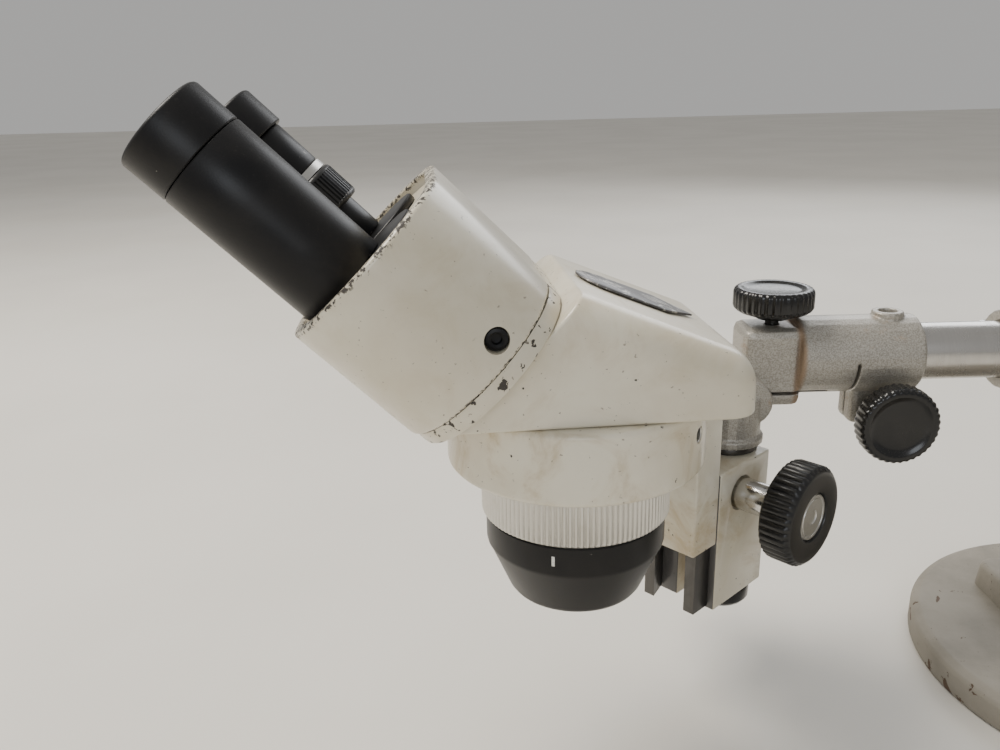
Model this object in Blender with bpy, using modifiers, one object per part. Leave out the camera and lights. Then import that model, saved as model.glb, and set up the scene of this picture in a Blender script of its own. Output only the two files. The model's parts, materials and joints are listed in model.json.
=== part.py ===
"""A stereo zoom microscope on a boom stand, at full size.

World frame: the origin is the centre of the round base on the table, +X runs along the boom
from the microscope to the post, +Y away from the side the knobs are on, +Z up. Metres.
"""

import math

import bmesh
import bpy

GAP = 0.0003  # clearance left between pieces that touch
PAST = 0.01  # how far a cutting shape runs past what it cuts

# Base and post
BASE_RADIUS = 0.1015
BASE_THICKNESS = 0.016
BASE_BEVEL = 0.0022
PLINTH_LENGTH = 0.104
PLINTH_WIDTH = 0.120
PLINTH_HEIGHT = 0.014
BOSS_FOOT_RADIUS = 0.037
BOSS_TOP_RADIUS = 0.021
BOSS_HEIGHT = 0.022
BAR_RADIUS = 0.014
POST_HEIGHT = 0.300
SOCKET_DEPTH = 0.030
SET_SCREW_RADIUS = 0.003

# Stand hardware
COLLAR_RADIUS = 0.0195
COLLAR_LENGTH = 0.014
THUMB_RADIUS = 0.0075
CLAMP_WALL = 0.007
CLAMP_POST_HEIGHT = 0.050
CLAMP_BOOM_LENGTH = 0.054
CLAMP_BETWEEN_BARS = 0.006
CLAMP_WEB_LENGTH = 0.0246
CLAMP_WEB_HEIGHT = 0.0312
CLAMP_PAD_RADIUS = 0.009
BOOM_HEIGHT = 0.161
BOOM_RIGHT_END = 0.140
CAP_LENGTH = 0.006
CLAMP_KNOB_RADIUS = 0.019
CLAMP_KNOB_HEIGHT = 0.0150
CLAMP_SCREW_RADIUS = 0.0032
KNOB_LIFT = 0.0032
STOP_COLLAR_X = -0.064

# Bracket on the end of the boom
SLEEVE_RADIUS = 0.019
SLEEVE_LEFT = -0.172
SLEEVE_RIGHT = -0.1145
BRACKET_SCREW_X = -0.184
SLIT_X = -0.1465
SLIT = 0.0014
LUG_SCREW_X = -0.1300
LUG_SCREW_DROP = 0.0270
LUG_DEPTH = 0.018
BOSS_HALF_DEPTH = 0.013
JAW_HEIGHT = 0.007
TILT_PIN_RADIUS = 0.006
TILT_LUG_RADIUS = 0.0115
TILT_SCREW_OFFSET = 0.016
TILT_DROP = 0.016
PAD_RADIUS = 0.0075
PAD_HOLE = 0.0045
PAD_FROM_END = 0.0135

# Hanger and focus block
PIN_BACK = 0.0175
PIN_LEFT = 0.023
PIN_RADIUS = 0.004
HANGER_RADIUS = 0.015
HANGER_FLANGE_RADIUS = 0.0165
HANGER_FLANGE_HEIGHT = 0.004
HANGER_DROP = 0.020
WASHER_RADIUS = 0.0145
WASHER_HEIGHT = 0.0034
PIN_CAP_RADIUS = 0.015
PIN_CAP_HEIGHT = 0.011
FOCUS_YAW = math.radians(43)
ARM_LENGTH = 0.111
BLOCK_HEIGHT = 0.071
BLOCK_WIDTH = 0.035
BLOCK_BEHIND_PIN = 0.010
BLOCK_LENGTH = 0.042
RAIL_DEPTH = 0.0115
RAIL_HEIGHT = 0.068
RAIL_INNER_FRONT = 0.0085
RAIL_INNER_BACK = 0.0120
CHEEK = 0.003
PINION_AHEAD = 0.0135
PINION_DROP = 0.015
GEAR_MODULE = 0.0008
GEAR_TEETH = 12
SHAFT_RADIUS = 0.003
SLEEVE_TUBE_RADIUS = 0.0077
SLEEVE_TUBE_LENGTH = 0.0185
FOCUS_KNOB_RADIUS = 0.0233
FOCUS_KNOB_WIDTH = 0.018
KNOB_DISC_RADIUS = 0.011
PLATE = 0.004
BRACKET_HEIGHT = 0.094

# Ring holder and pod
RING_ABOVE_BLOCK = 0.059
RING_RADIUS = 0.050
RING_HEIGHT = 0.027
SEAT_RADIUS = 0.042
LOCK_HOLE_RADIUS = 0.0032
LOCK_HOLE_TURN = math.radians(-32)
LOCK_HOLE_RISE = 0.0165
POD_YAW = math.radians(4.5)
POD_REAR = 0.0575
POD_REAR_RADIUS = 0.012
POD_WIDTH = 0.088
POD_WALL = 0.003
POD_REAR_TOP = 0.023  # where the sloping top meets the rounded rear
POD_CROWN = 0.029
HEAD_ANGLE = math.radians(45)
FACE_AHEAD_OF_RING = 0.0255
FACE_ABOVE_RING = 0.0583
HOUSING_LENGTH = 0.053
HOUSING_HALF_HEIGHT = 0.035
HOUSING_HALF_WIDTH = 0.0575
HOUSING_WALL = 0.003
RECESS_MARGIN = 0.0045
RECESS_DEPTH = 0.004
FLANGE_THICKNESS = 0.006
FLANGE_INSET = 0.0006
TURRET_RADIUS = 0.0215
TUBE_RADIUS = 0.0168
TUBE_LENGTH = 0.0555
LEFT_TUBE_LENGTH = 0.0515
EYECUP_LENGTH = 0.016
EYE_TURN = math.radians(42.3)
NECK_RADIUS = 0.0130
DIOPTER_RADIUS = 0.0165
DIOPTER_LENGTH = 0.015
LEFT_BARREL_RADIUS = 0.0150
LENS_RADIUS = 0.0085

# Lower barrel
ZOOM_RADIUS = 0.0374
ZOOM_HEIGHT = 0.0226
GRIP_SCREW_TURN = math.radians(-42)
NECK_TUBE_RADIUS = 0.030
CONE_RADIUS = 0.0358
CONE_TIP_RADIUS = 0.0265
CONE_STRAIGHT = 0.0125
CONE_HEIGHT = 0.0335
FRONT_LENS_RADIUS = 0.0220

# Heights and places that follow from the sizes above
AXES_APART = 2 * BAR_RADIUS + CLAMP_BETWEEN_BARS
PIVOT_HEIGHT = BOOM_HEIGHT - TILT_DROP
PIVOT_X = BRACKET_SCREW_X - TILT_SCREW_OFFSET
BRACKET_FRONT = AXES_APART - BOSS_HALF_DEPTH
PIN_X = BRACKET_SCREW_X - PIN_LEFT
PIN_Y = AXES_APART - PIN_BACK
HANGER_BASE = PIVOT_HEIGHT - HANGER_DROP
BLOCK_TOP = HANGER_BASE - WASHER_HEIGHT - 2 * GAP
BLOCK_BASE = BLOCK_TOP - BLOCK_HEIGHT
BLOCK_FRONT = BLOCK_BEHIND_PIN - BLOCK_LENGTH
RAIL_FRONT = BLOCK_FRONT - GAP - RAIL_DEPTH
RING_TOP = BLOCK_TOP + RING_ABOVE_BLOCK
RING_BASE = RING_TOP - RING_HEIGHT
PINION_HEIGHT = BLOCK_TOP - PINION_DROP
PITCH_RADIUS = GEAR_MODULE * GEAR_TEETH / 2
RACK_PITCH_X = -PINION_AHEAD - PITCH_RADIUS
RACK_FRONT = RACK_PITCH_X - 0.004
RACK_WIDTH = 0.006
ZOOM_TOP = RING_BASE - GAP
ZOOM_BASE = ZOOM_TOP - ZOOM_HEIGHT
CONE_TOP = ZOOM_BASE - GAP
CONE_BASE = CONE_TOP - CONE_HEIGHT
FACE_HEIGHT = RING_TOP + FACE_ABOVE_RING
FACE_X = -(RING_RADIUS + FACE_AHEAD_OF_RING)
TURRET_SPACING = HOUSING_HALF_WIDTH - HOUSING_HALF_HEIGHT
EYE_OFFSET = HOUSING_HALF_HEIGHT - RECESS_MARGIN - TUBE_RADIUS - GAP
EYE_DROP = EYE_OFFSET * math.sin(EYE_TURN)
EYE_HALF_SPACING = TURRET_SPACING + EYE_OFFSET * math.cos(EYE_TURN)
COLLAR_HEIGHT = BOOM_HEIGHT - CLAMP_POST_HEIGHT / 2 - GAP - COLLAR_LENGTH / 2

MATERIALS = {
    "cream_paint": ((0.74, 0.71, 0.60), 0.45, 0.0),
    "grey_paint": ((0.42, 0.40, 0.36), 0.50, 0.1),
    "cast_silver": ((0.46, 0.44, 0.40), 0.48, 0.6),
    "steel": ((0.62, 0.60, 0.56), 0.25, 1.0),
    "dark_steel": ((0.20, 0.20, 0.19), 0.45, 0.9),
    "aluminium": ((0.75, 0.74, 0.71), 0.35, 1.0),
    "brass": ((0.70, 0.55, 0.28), 0.35, 1.0),
    "black_plastic": ((0.020, 0.019, 0.018), 0.35, 0.0),
    "black_paint": ((0.018, 0.018, 0.018), 0.45, 0.0),
    "glass": ((0.20, 0.25, 0.28), 0.05, 0.0),
}


def clear_scene():
    for old in list(bpy.data.objects):
        bpy.data.objects.remove(old)


def collection(name):
    made = bpy.data.collections.new(name)
    bpy.context.scene.collection.children.link(made)
    return made


clear_scene()
PARTS = collection("stereo_microscope")
CUTTERS = collection("cutters")


def material(name):
    made = bpy.data.materials.get(name)
    if made:
        return made
    colour, roughness, metallic = MATERIALS[name]
    made = bpy.data.materials.new(name)
    made.use_nodes = True
    shader = made.node_tree.nodes["Principled BSDF"]
    shader.inputs["Base Color"].default_value = (*colour, 1)
    shader.inputs["Roughness"].default_value = roughness
    shader.inputs["Metallic"].default_value = metallic
    return made


def frame_empty(name, at, turn=(0, 0, 0), parent=None):
    empty = bpy.data.objects.new(name, None)
    empty.location = at
    empty.rotation_euler = turn
    empty.parent = parent
    PARTS.objects.link(empty)
    return empty


def placed(name, mesh, finish, parent, at=(0, 0, 0), turn=(0, 0, 0)):
    """An object in the parts' collection, or a cutter where the finish is None."""
    piece = bpy.data.objects.new(name, mesh)
    piece.location = at
    piece.rotation_euler = turn
    piece.parent = parent
    if finish:
        PARTS.objects.link(piece)
        mesh.materials.append(material(finish))
    else:
        CUTTERS.objects.link(piece)
        piece.hide_render = True
        piece.display_type = "WIRE"
    return piece


def turned(name, profile, finish, parent=None, at=(0, 0, 0), turn=(0, 0, 0), steps=24):
    """A solid of revolution about local Z: the profile runs down the outside, up the inside."""
    mesh = bpy.data.meshes.new(name)
    on_axis = abs(profile[0][0]) < 1e-9 and abs(profile[-1][0]) < 1e-9
    count = len(profile)
    edges = [(i, i + 1) for i in range(count - 1)]
    if not on_axis:
        edges.append((count - 1, 0))
    mesh.from_pydata([(radius, 0, height) for radius, height in profile], edges, [])
    piece = placed(name, mesh, finish, parent, at, turn)
    screw = piece.modifiers.new("turn", "SCREW")
    screw.steps = screw.render_steps = steps
    screw.use_merge_vertices = True
    screw.merge_threshold = 1e-6
    screw.use_smooth_shade = False
    return piece


def cylinder(name, radius, low, high, finish, parent=None, at=(0, 0, 0), turn=(0, 0, 0),
             edge=0.0, steps=24):
    """A plain round bar between two heights, with both edges chamfered by edge."""
    profile = [(0, high), (radius, high), (radius, low), (0, low)]
    if edge:
        profile = [(0, high), (radius - edge, high), (radius, high - edge),
                   (radius, low + edge), (radius - edge, low), (0, low)]
    return turned(name, profile, finish, parent, at, turn, steps)


def tube(name, outer, inner, low, high, finish, parent=None, at=(0, 0, 0), turn=(0, 0, 0),
         edge=0.0, steps=24):
    """A ring between two heights, its outer edges chamfered by edge."""
    profile = [(inner, high), (outer - edge, high), (outer, high - edge),
               (outer, low + edge), (outer - edge, low), (inner, low)]
    if not edge:
        profile = [(inner, high), (outer, high), (outer, low), (inner, low)]
    return turned(name, profile, finish, parent, at, turn, steps)


def bevel(piece, width, segments=2, angle=50):
    rounding = piece.modifiers.new("edges", "BEVEL")
    rounding.width = width
    rounding.segments = segments
    rounding.limit_method = "ANGLE"
    rounding.angle_limit = math.radians(angle)
    return piece


def block(name, size, centre, finish, parent=None, turn=(0, 0, 0), edge=0.0):
    mesh = bpy.data.meshes.new(name)
    shape = bmesh.new()
    bmesh.ops.create_cube(shape, size=1)
    bmesh.ops.scale(shape, vec=size, verts=shape.verts)
    shape.to_mesh(mesh)
    shape.free()
    piece = placed(name, mesh, finish, parent, centre, turn)
    if edge:
        bevel(piece, edge)
    return piece


def slab(name, outline, thickness, finish, parent=None, at=(0, 0, 0), turn=(0, 0, 0)):
    """A flat outline in local XY, made thickness deep about its own plane."""
    curve = bpy.data.curves.new(name, "CURVE")
    curve.dimensions = "2D"
    curve.fill_mode = "BOTH"
    curve.extrude = thickness / 2
    spline = curve.splines.new("POLY")
    spline.points.add(len(outline) - 1)
    for point, (x, y) in zip(spline.points, outline):
        point.co = (x, y, 0, 1)
    spline.use_cyclic_u = True
    drawn = bpy.data.objects.new(name, curve)
    bpy.context.scene.collection.objects.link(drawn)
    bpy.context.view_layer.update()
    mesh = bpy.data.meshes.new_from_object(
        drawn.evaluated_get(bpy.context.evaluated_depsgraph_get()))
    bpy.data.objects.remove(drawn)
    mesh.materials.clear()
    shape = bmesh.new()
    shape.from_mesh(mesh)
    bmesh.ops.remove_doubles(shape, verts=shape.verts, dist=1e-6)
    bmesh.ops.dissolve_limit(shape, angle_limit=1e-4, verts=shape.verts, edges=shape.edges)
    bmesh.ops.recalc_face_normals(shape, faces=shape.faces)
    shape.to_mesh(mesh)
    shape.free()
    return placed(name, mesh, finish, parent, at, turn)


def arc(centre, radius, start, end, steps):
    """Points on a circle from one angle to another, in degrees."""
    angles = [math.radians(start + (end - start) * i / steps) for i in range(steps + 1)]
    return [(centre[0] + radius * math.cos(a), centre[1] + radius * math.sin(a)) for a in angles]


def stadium(half_height, half_width, steps=12):
    """An outline with round ends: half_height along X, half_width along Y."""
    offset = half_width - half_height
    return (arc((0, offset), half_height, 0, 180, steps)
            + arc((0, -offset), half_height, 180, 360, steps))


def boolean(piece, tool, operation):
    change = piece.modifiers.new(tool.name, "BOOLEAN")
    change.operation = operation
    change.solver = "EXACT"
    change.object = tool


def cut(piece, *tools):
    for tool in tools:
        boolean(piece, tool, "DIFFERENCE")


def join(piece, *tools):
    for tool in tools:
        boolean(piece, tool, "UNION")


ALONG_X = (0, math.pi / 2, 0)  # turns local Z to +X
ALONG_MINUS_X = (0, -math.pi / 2, 0)
ALONG_MINUS_Y = (math.pi / 2, 0, 0)  # turns local Z to -Y
ALONG_Y = (-math.pi / 2, 0, 0)


def clamp_knob(name, at, turn, screw_length, parent=None):
    """A round hand knob on its screw. Local Z runs from the screw's tip out through the knob."""
    radius, height = CLAMP_KNOB_RADIUS, CLAMP_KNOB_HEIGHT
    profile = [(0, height - 0.001), (radius * 0.62, height - 0.001), (radius * 0.72, height),
               (radius - 0.0015, height), (radius, height - 0.0015), (radius, 0.0055),
               (radius - 0.0015, 0.0040), (radius * 0.42, 0), (CLAMP_SCREW_RADIUS, 0),
               (CLAMP_SCREW_RADIUS, -screw_length), (0, -screw_length)]
    return turned(name, profile, "black_plastic", parent, at, turn, 22)


def thumb_screw(name, at, turn, reach, parent=None):
    profile = [(0, 0.009), (THUMB_RADIUS - 0.001, 0.009), (THUMB_RADIUS, 0.008),
               (THUMB_RADIUS, 0.001), (THUMB_RADIUS - 0.001, 0), (0.0025, 0),
               (0.0025, -reach), (0, -reach)]
    return turned(name, profile, "steel", parent, at, turn, 14)


def base_and_post():
    rim = BASE_RADIUS
    profile = [(0, BASE_THICKNESS), (rim - 2.2 * BASE_BEVEL, BASE_THICKNESS),
               (rim - BASE_BEVEL, BASE_THICKNESS - 0.5 * BASE_BEVEL),
               (rim, BASE_THICKNESS - 2 * BASE_BEVEL), (rim, 0.0012), (rim - 0.0012, 0), (0, 0)]
    base = turned("base_casting", profile, "grey_paint", steps=36)
    plinth_top = BASE_THICKNESS + PLINTH_HEIGHT
    plinth = block("plinth", (PLINTH_LENGTH, PLINTH_WIDTH, PLINTH_HEIGHT + 0.006),
                   (0, 0, plinth_top - (PLINTH_HEIGHT + 0.006) / 2), None, edge=0.005)
    boss_top = plinth_top + BOSS_HEIGHT
    boss = turned("post_boss", [
        (0, boss_top), (BOSS_TOP_RADIUS - 0.002, boss_top), (BOSS_TOP_RADIUS, boss_top - 0.002),
        (BOSS_TOP_RADIUS + 0.002, plinth_top + 0.010), (BOSS_FOOT_RADIUS, plinth_top - 0.002),
        (0, plinth_top - 0.002)], None)
    socket_floor = boss_top - SOCKET_DEPTH
    socket = cylinder("post_socket", BAR_RADIUS + GAP, socket_floor, boss_top + PAST, None)
    screw_height = boss_top - 0.008
    screw_hole = cylinder("post_screw_hole", SET_SCREW_RADIUS + GAP, BAR_RADIUS - 0.002,
                          BOSS_FOOT_RADIUS, None, at=(0, 0, screw_height), turn=ALONG_MINUS_Y,
                          steps=10)
    join(base, plinth, boss)
    cut(base, socket, screw_hole)
    cylinder("post", BAR_RADIUS, socket_floor + GAP, POST_HEIGHT, "steel", edge=0.0015)
    cylinder("post_set_screw", SET_SCREW_RADIUS, BAR_RADIUS + GAP, BAR_RADIUS + 0.0065,
             "dark_steel", at=(0, 0, screw_height), turn=ALONG_MINUS_Y, edge=0.0004, steps=10)


def stop_collar(name, at, turn, screw_turn):
    """A collar on a bar along its local Z, with a thumb screw in its side."""
    collar = tube(name, COLLAR_RADIUS, BAR_RADIUS + GAP, -COLLAR_LENGTH / 2, COLLAR_LENGTH / 2,
                  "cast_silver", at=at, turn=turn, edge=0.001)
    hole = cylinder(name + "_hole", 0.0025 + GAP, BAR_RADIUS - 0.002, COLLAR_RADIUS + 0.004,
                    None, at=at, turn=screw_turn, steps=10)
    cut(collar, hole)
    reach = COLLAR_RADIUS - BAR_RADIUS - GAP
    outward = {ALONG_MINUS_Y: (0, -1, 0), ALONG_Y: (0, 1, 0)}[screw_turn]
    foot = [at[i] + outward[i] * (COLLAR_RADIUS + GAP) for i in range(3)]
    thumb_screw(name + "_screw", foot, screw_turn, reach)


def cross_clamp():
    outer = BAR_RADIUS + GAP + CLAMP_WALL
    low = BOOM_HEIGHT - CLAMP_POST_HEIGHT / 2
    high = BOOM_HEIGHT + CLAMP_POST_HEIGHT / 2
    clamp = cylinder("cross_clamp", outer, low, high, "cast_silver", edge=0.0015, steps=26)
    half = CLAMP_BOOM_LENGTH / 2
    beside = cylinder("clamp_boom_sleeve", outer, -half, half, None,
                      at=(0, AXES_APART, BOOM_HEIGHT), turn=ALONG_X, edge=0.0015)
    web = block("clamp_web", (CLAMP_WEB_LENGTH, AXES_APART + 0.004, CLAMP_WEB_HEIGHT),
                (0, AXES_APART / 2, BOOM_HEIGHT), None)
    knob_face = outer + 0.003
    post_pad = cylinder("post_knob_pad", CLAMP_PAD_RADIUS, BAR_RADIUS + 0.002, knob_face, None,
                        at=(0, 0, BOOM_HEIGHT), turn=ALONG_MINUS_Y, steps=14)
    boom_pad = cylinder("boom_knob_pad", CLAMP_PAD_RADIUS, BAR_RADIUS + 0.002, knob_face, None,
                        at=(0, AXES_APART, BOOM_HEIGHT), steps=14)
    join(clamp, beside, web, post_pad, boom_pad)
    bore = BAR_RADIUS + GAP
    post_bore = cylinder("clamp_post_bore", bore, low - PAST, high + PAST, None)
    boom_bore = cylinder("clamp_boom_bore", bore, -half - PAST, half + PAST, None,
                         at=(0, AXES_APART, BOOM_HEIGHT), turn=ALONG_X)
    post_screw = cylinder("post_knob_hole", CLAMP_SCREW_RADIUS + GAP, BAR_RADIUS - 0.002,
                          knob_face + PAST, None, at=(0, 0, BOOM_HEIGHT), turn=ALONG_MINUS_Y,
                          steps=12)
    boom_screw = cylinder("boom_knob_hole", CLAMP_SCREW_RADIUS + GAP, BAR_RADIUS - 0.002,
                          knob_face + PAST, None, at=(0, AXES_APART, BOOM_HEIGHT), steps=12)
    cut(clamp, post_screw, boom_screw, post_bore, boom_bore)
    reach = knob_face - BAR_RADIUS
    clamp_knob("post_clamp_knob", (0, -knob_face - GAP, BOOM_HEIGHT), ALONG_MINUS_Y, reach)
    clamp_knob("boom_clamp_knob", (0, AXES_APART, BOOM_HEIGHT + knob_face + GAP), (0, 0, 0),
               reach)


def boom():
    at = (0, AXES_APART, BOOM_HEIGHT)
    bar_left = SLEEVE_LEFT + 0.008
    cylinder("boom_bar", BAR_RADIUS, bar_left, BOOM_RIGHT_END, "steel", at=at, turn=ALONG_X,
             edge=0.0012)
    low = BOOM_RIGHT_END + GAP
    cylinder("boom_end_cap", BAR_RADIUS + 0.001, low, low + CAP_LENGTH, "black_plastic", at=at,
             turn=ALONG_X, edge=0.0015)


def boom_bracket():
    """The casting on the boom's end: a split sleeve, and a boss that clamps the tilt pin."""
    at = (0, AXES_APART, BOOM_HEIGHT)
    bracket = cylinder("boom_bracket", SLEEVE_RADIUS, SLEEVE_LEFT - 0.001, SLEEVE_RIGHT,
                       "cast_silver", at=at, turn=ALONG_X, edge=0.0012, steps=26)
    boss_top = BOOM_HEIGHT + SLEEVE_RADIUS - 0.003
    boss_base = PIVOT_HEIGHT - JAW_HEIGHT
    boss_left = PIVOT_X
    boss_right = BRACKET_SCREW_X + 0.013
    boss = block("bracket_boss", (boss_right - boss_left, 2 * BOSS_HALF_DEPTH,
                                  boss_top - boss_base),
                 ((boss_left + boss_right) / 2, AXES_APART, (boss_top + boss_base) / 2), None,
                 edge=0.004)
    eye = cylinder("pin_eye", TILT_LUG_RADIUS - 0.001, -BOSS_HALF_DEPTH, BOSS_HALF_DEPTH, None,
                   at=(PIVOT_X, AXES_APART, PIVOT_HEIGHT), turn=ALONG_MINUS_Y, edge=0.001)
    lug_base = BOOM_HEIGHT - LUG_SCREW_DROP - 0.0075
    lug_left = SLIT_X + SLIT / 2 + 0.001
    lug_length = 2 * (LUG_SCREW_X - lug_left)
    lug = block("clamp_lug", (lug_length, LUG_DEPTH, BOOM_HEIGHT - lug_base - 0.010),
                (LUG_SCREW_X, AXES_APART, (BOOM_HEIGHT - 0.010 + lug_base) / 2), None,
                edge=0.003)
    pad = cylinder("plug_pad", PAD_RADIUS, SLEEVE_RADIUS - 0.006, SLEEVE_RADIUS + 0.0022, None,
                   at=(SLEEVE_RIGHT - PAD_FROM_END, AXES_APART, BOOM_HEIGHT), edge=0.0006, steps=16)
    join(bracket, boss, eye, lug, pad)
    bore = cylinder("boom_bore", BAR_RADIUS + GAP, SLEEVE_LEFT + 0.008 - GAP,
                    SLEEVE_RIGHT + PAST, None, at=at, turn=ALONG_X)
    pin_bore = cylinder("tilt_bore", TILT_PIN_RADIUS + GAP, -BOSS_HALF_DEPTH - PAST,
                        BOSS_HALF_DEPTH + PAST, None, at=(PIVOT_X, AXES_APART, PIVOT_HEIGHT),
                        turn=ALONG_MINUS_Y, steps=16)
    jaw_cut = block("jaw_slit", (0.040, 0.040, SLIT),
                    (PIVOT_X + 0.020 + TILT_PIN_RADIUS / 2, AXES_APART, PIVOT_HEIGHT), None)
    screw_a = cylinder("tilt_screw_hole", CLAMP_SCREW_RADIUS + GAP, PIVOT_HEIGHT - 0.005,
                       boss_top + PAST, None, at=(BRACKET_SCREW_X, AXES_APART, 0), steps=10)
    screw_b = cylinder("lug_screw_hole", CLAMP_SCREW_RADIUS + GAP, -LUG_DEPTH / 2 + 0.002,
                       LUG_DEPTH / 2 + PAST, None,
                       at=(LUG_SCREW_X, AXES_APART, BOOM_HEIGHT - LUG_SCREW_DROP),
                       turn=ALONG_MINUS_Y, steps=10)
    plug_hole = cylinder("plug_hole", PAD_HOLE, BAR_RADIUS - 0.002, SLEEVE_RADIUS + 0.006, None,
                         at=(SLEEVE_RIGHT - PAD_FROM_END, AXES_APART, BOOM_HEIGHT), steps=12)
    ring_slit = block("sleeve_slit", (SLIT, 0.05, 0.040),
                      (SLIT_X, AXES_APART, BOOM_HEIGHT - 0.020), None)
    long_slit = block("lug_slit", (SLEEVE_RIGHT - SLIT_X + 0.02, SLIT, 0.040),
                      ((SLEEVE_RIGHT + 0.02 + SLIT_X) / 2, AXES_APART, BOOM_HEIGHT - 0.028),
                      None)
    cut(bracket, bore, pin_bore, jaw_cut, screw_a, screw_b, plug_hole, ring_slit, long_slit)
    clamp_knob("tilt_clamp_knob", (BRACKET_SCREW_X, AXES_APART, boss_top + KNOB_LIFT), (0, 0, 0),
               boss_top + KNOB_LIFT - PIVOT_HEIGHT + 0.003)
    clamp_knob("bracket_clamp_knob",
               (LUG_SCREW_X, AXES_APART - LUG_DEPTH / 2 - 0.0012 - 0.008,
                BOOM_HEIGHT - LUG_SCREW_DROP), ALONG_MINUS_Y, LUG_DEPTH / 2 + 0.0105)


def hanger():
    """The casting that hangs the focus block from the tilt pin, with both of its pins."""
    centre = (PIN_X, PIN_Y, 0)
    profile = [(0, PIVOT_HEIGHT + 0.004), (HANGER_RADIUS - 0.002, PIVOT_HEIGHT + 0.004),
               (HANGER_RADIUS, PIVOT_HEIGHT + 0.002),
               (HANGER_RADIUS, HANGER_BASE + HANGER_FLANGE_HEIGHT),
               (HANGER_FLANGE_RADIUS, HANGER_BASE + HANGER_FLANGE_HEIGHT - 0.0008),
               (HANGER_FLANGE_RADIUS, HANGER_BASE), (0, HANGER_BASE)]
    body = turned("hanger_casting", profile, "cast_silver", at=centre)
    lug_back = BRACKET_FRONT - 2 * GAP
    lug_depth = 0.0125
    lug = cylinder("hanger_lug", TILT_LUG_RADIUS, 0, lug_depth, None,
                   at=(PIVOT_X, lug_back, PIVOT_HEIGHT), turn=ALONG_MINUS_Y, edge=0.001)
    clear_low = PIVOT_HEIGHT - TILT_LUG_RADIUS - 0.004
    back_cut = block("hanger_back_cut", (0.08, 0.04, 0.05),
                     (PIN_X, lug_back + 0.020, clear_low + 0.025), None)
    pin_hole = cylinder("hanger_pin_hole", TILT_PIN_RADIUS + GAP, -0.005, lug_depth - 0.002,
                        None, at=(PIVOT_X, lug_back, PIVOT_HEIGHT), turn=ALONG_MINUS_Y, steps=16)
    yaw_top = clear_low - 0.002
    yaw_hole = cylinder("hanger_yaw_hole", PIN_RADIUS + GAP, HANGER_BASE - PAST, yaw_top, None,
                        at=centre, steps=14)
    join(body, lug)
    cut(body, back_cut, pin_hole, yaw_hole)
    cylinder("tilt_pin", TILT_PIN_RADIUS, -2 * BOSS_HALF_DEPTH - 2 * GAP, lug_depth - 0.002 - GAP,
             "dark_steel", at=(PIVOT_X, lug_back, PIVOT_HEIGHT), turn=ALONG_MINUS_Y, edge=0.0008,
             steps=16)
    cap_top = BLOCK_BASE - GAP
    pin_low = cap_top - PIN_CAP_HEIGHT * 0.6
    cylinder("yaw_pin", PIN_RADIUS, pin_low + GAP, yaw_top - GAP, "steel", at=centre, edge=0.0005,
             steps=14)
    tube("pin_washer", WASHER_RADIUS, PIN_RADIUS + GAP, BLOCK_TOP + GAP, HANGER_BASE - GAP,
         "dark_steel", at=centre, edge=0.0005, steps=20)
    low = cap_top - PIN_CAP_HEIGHT
    turned("pin_cap", [
        (0, pin_low), (PIN_RADIUS + GAP, pin_low), (PIN_RADIUS + GAP, cap_top),
        (PIN_CAP_RADIUS - 0.002, cap_top), (PIN_CAP_RADIUS, cap_top - 0.002),
        (PIN_CAP_RADIUS, low + 0.002), (PIN_CAP_RADIUS - 0.0015, low), (0, low)],
        "black_plastic", at=centre, steps=24)


def gear_outline(teeth, module, tip, root, tooth_share):
    """A spur gear's outline: each tooth a trapezoid, tooth_share of the pitch at its middle."""
    pitch = module * teeth / 2
    points = []
    for i in range(teeth):
        middle = 2 * math.pi * i / teeth
        half = math.pi * tooth_share / teeth
        for angle, radius in ((-1.35 * half, root), (-0.62 * half, pitch + tip),
                              (0.62 * half, pitch + tip), (1.35 * half, root)):
            points.append((radius * math.cos(middle + angle), radius * math.sin(middle + angle)))
    return points


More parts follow.
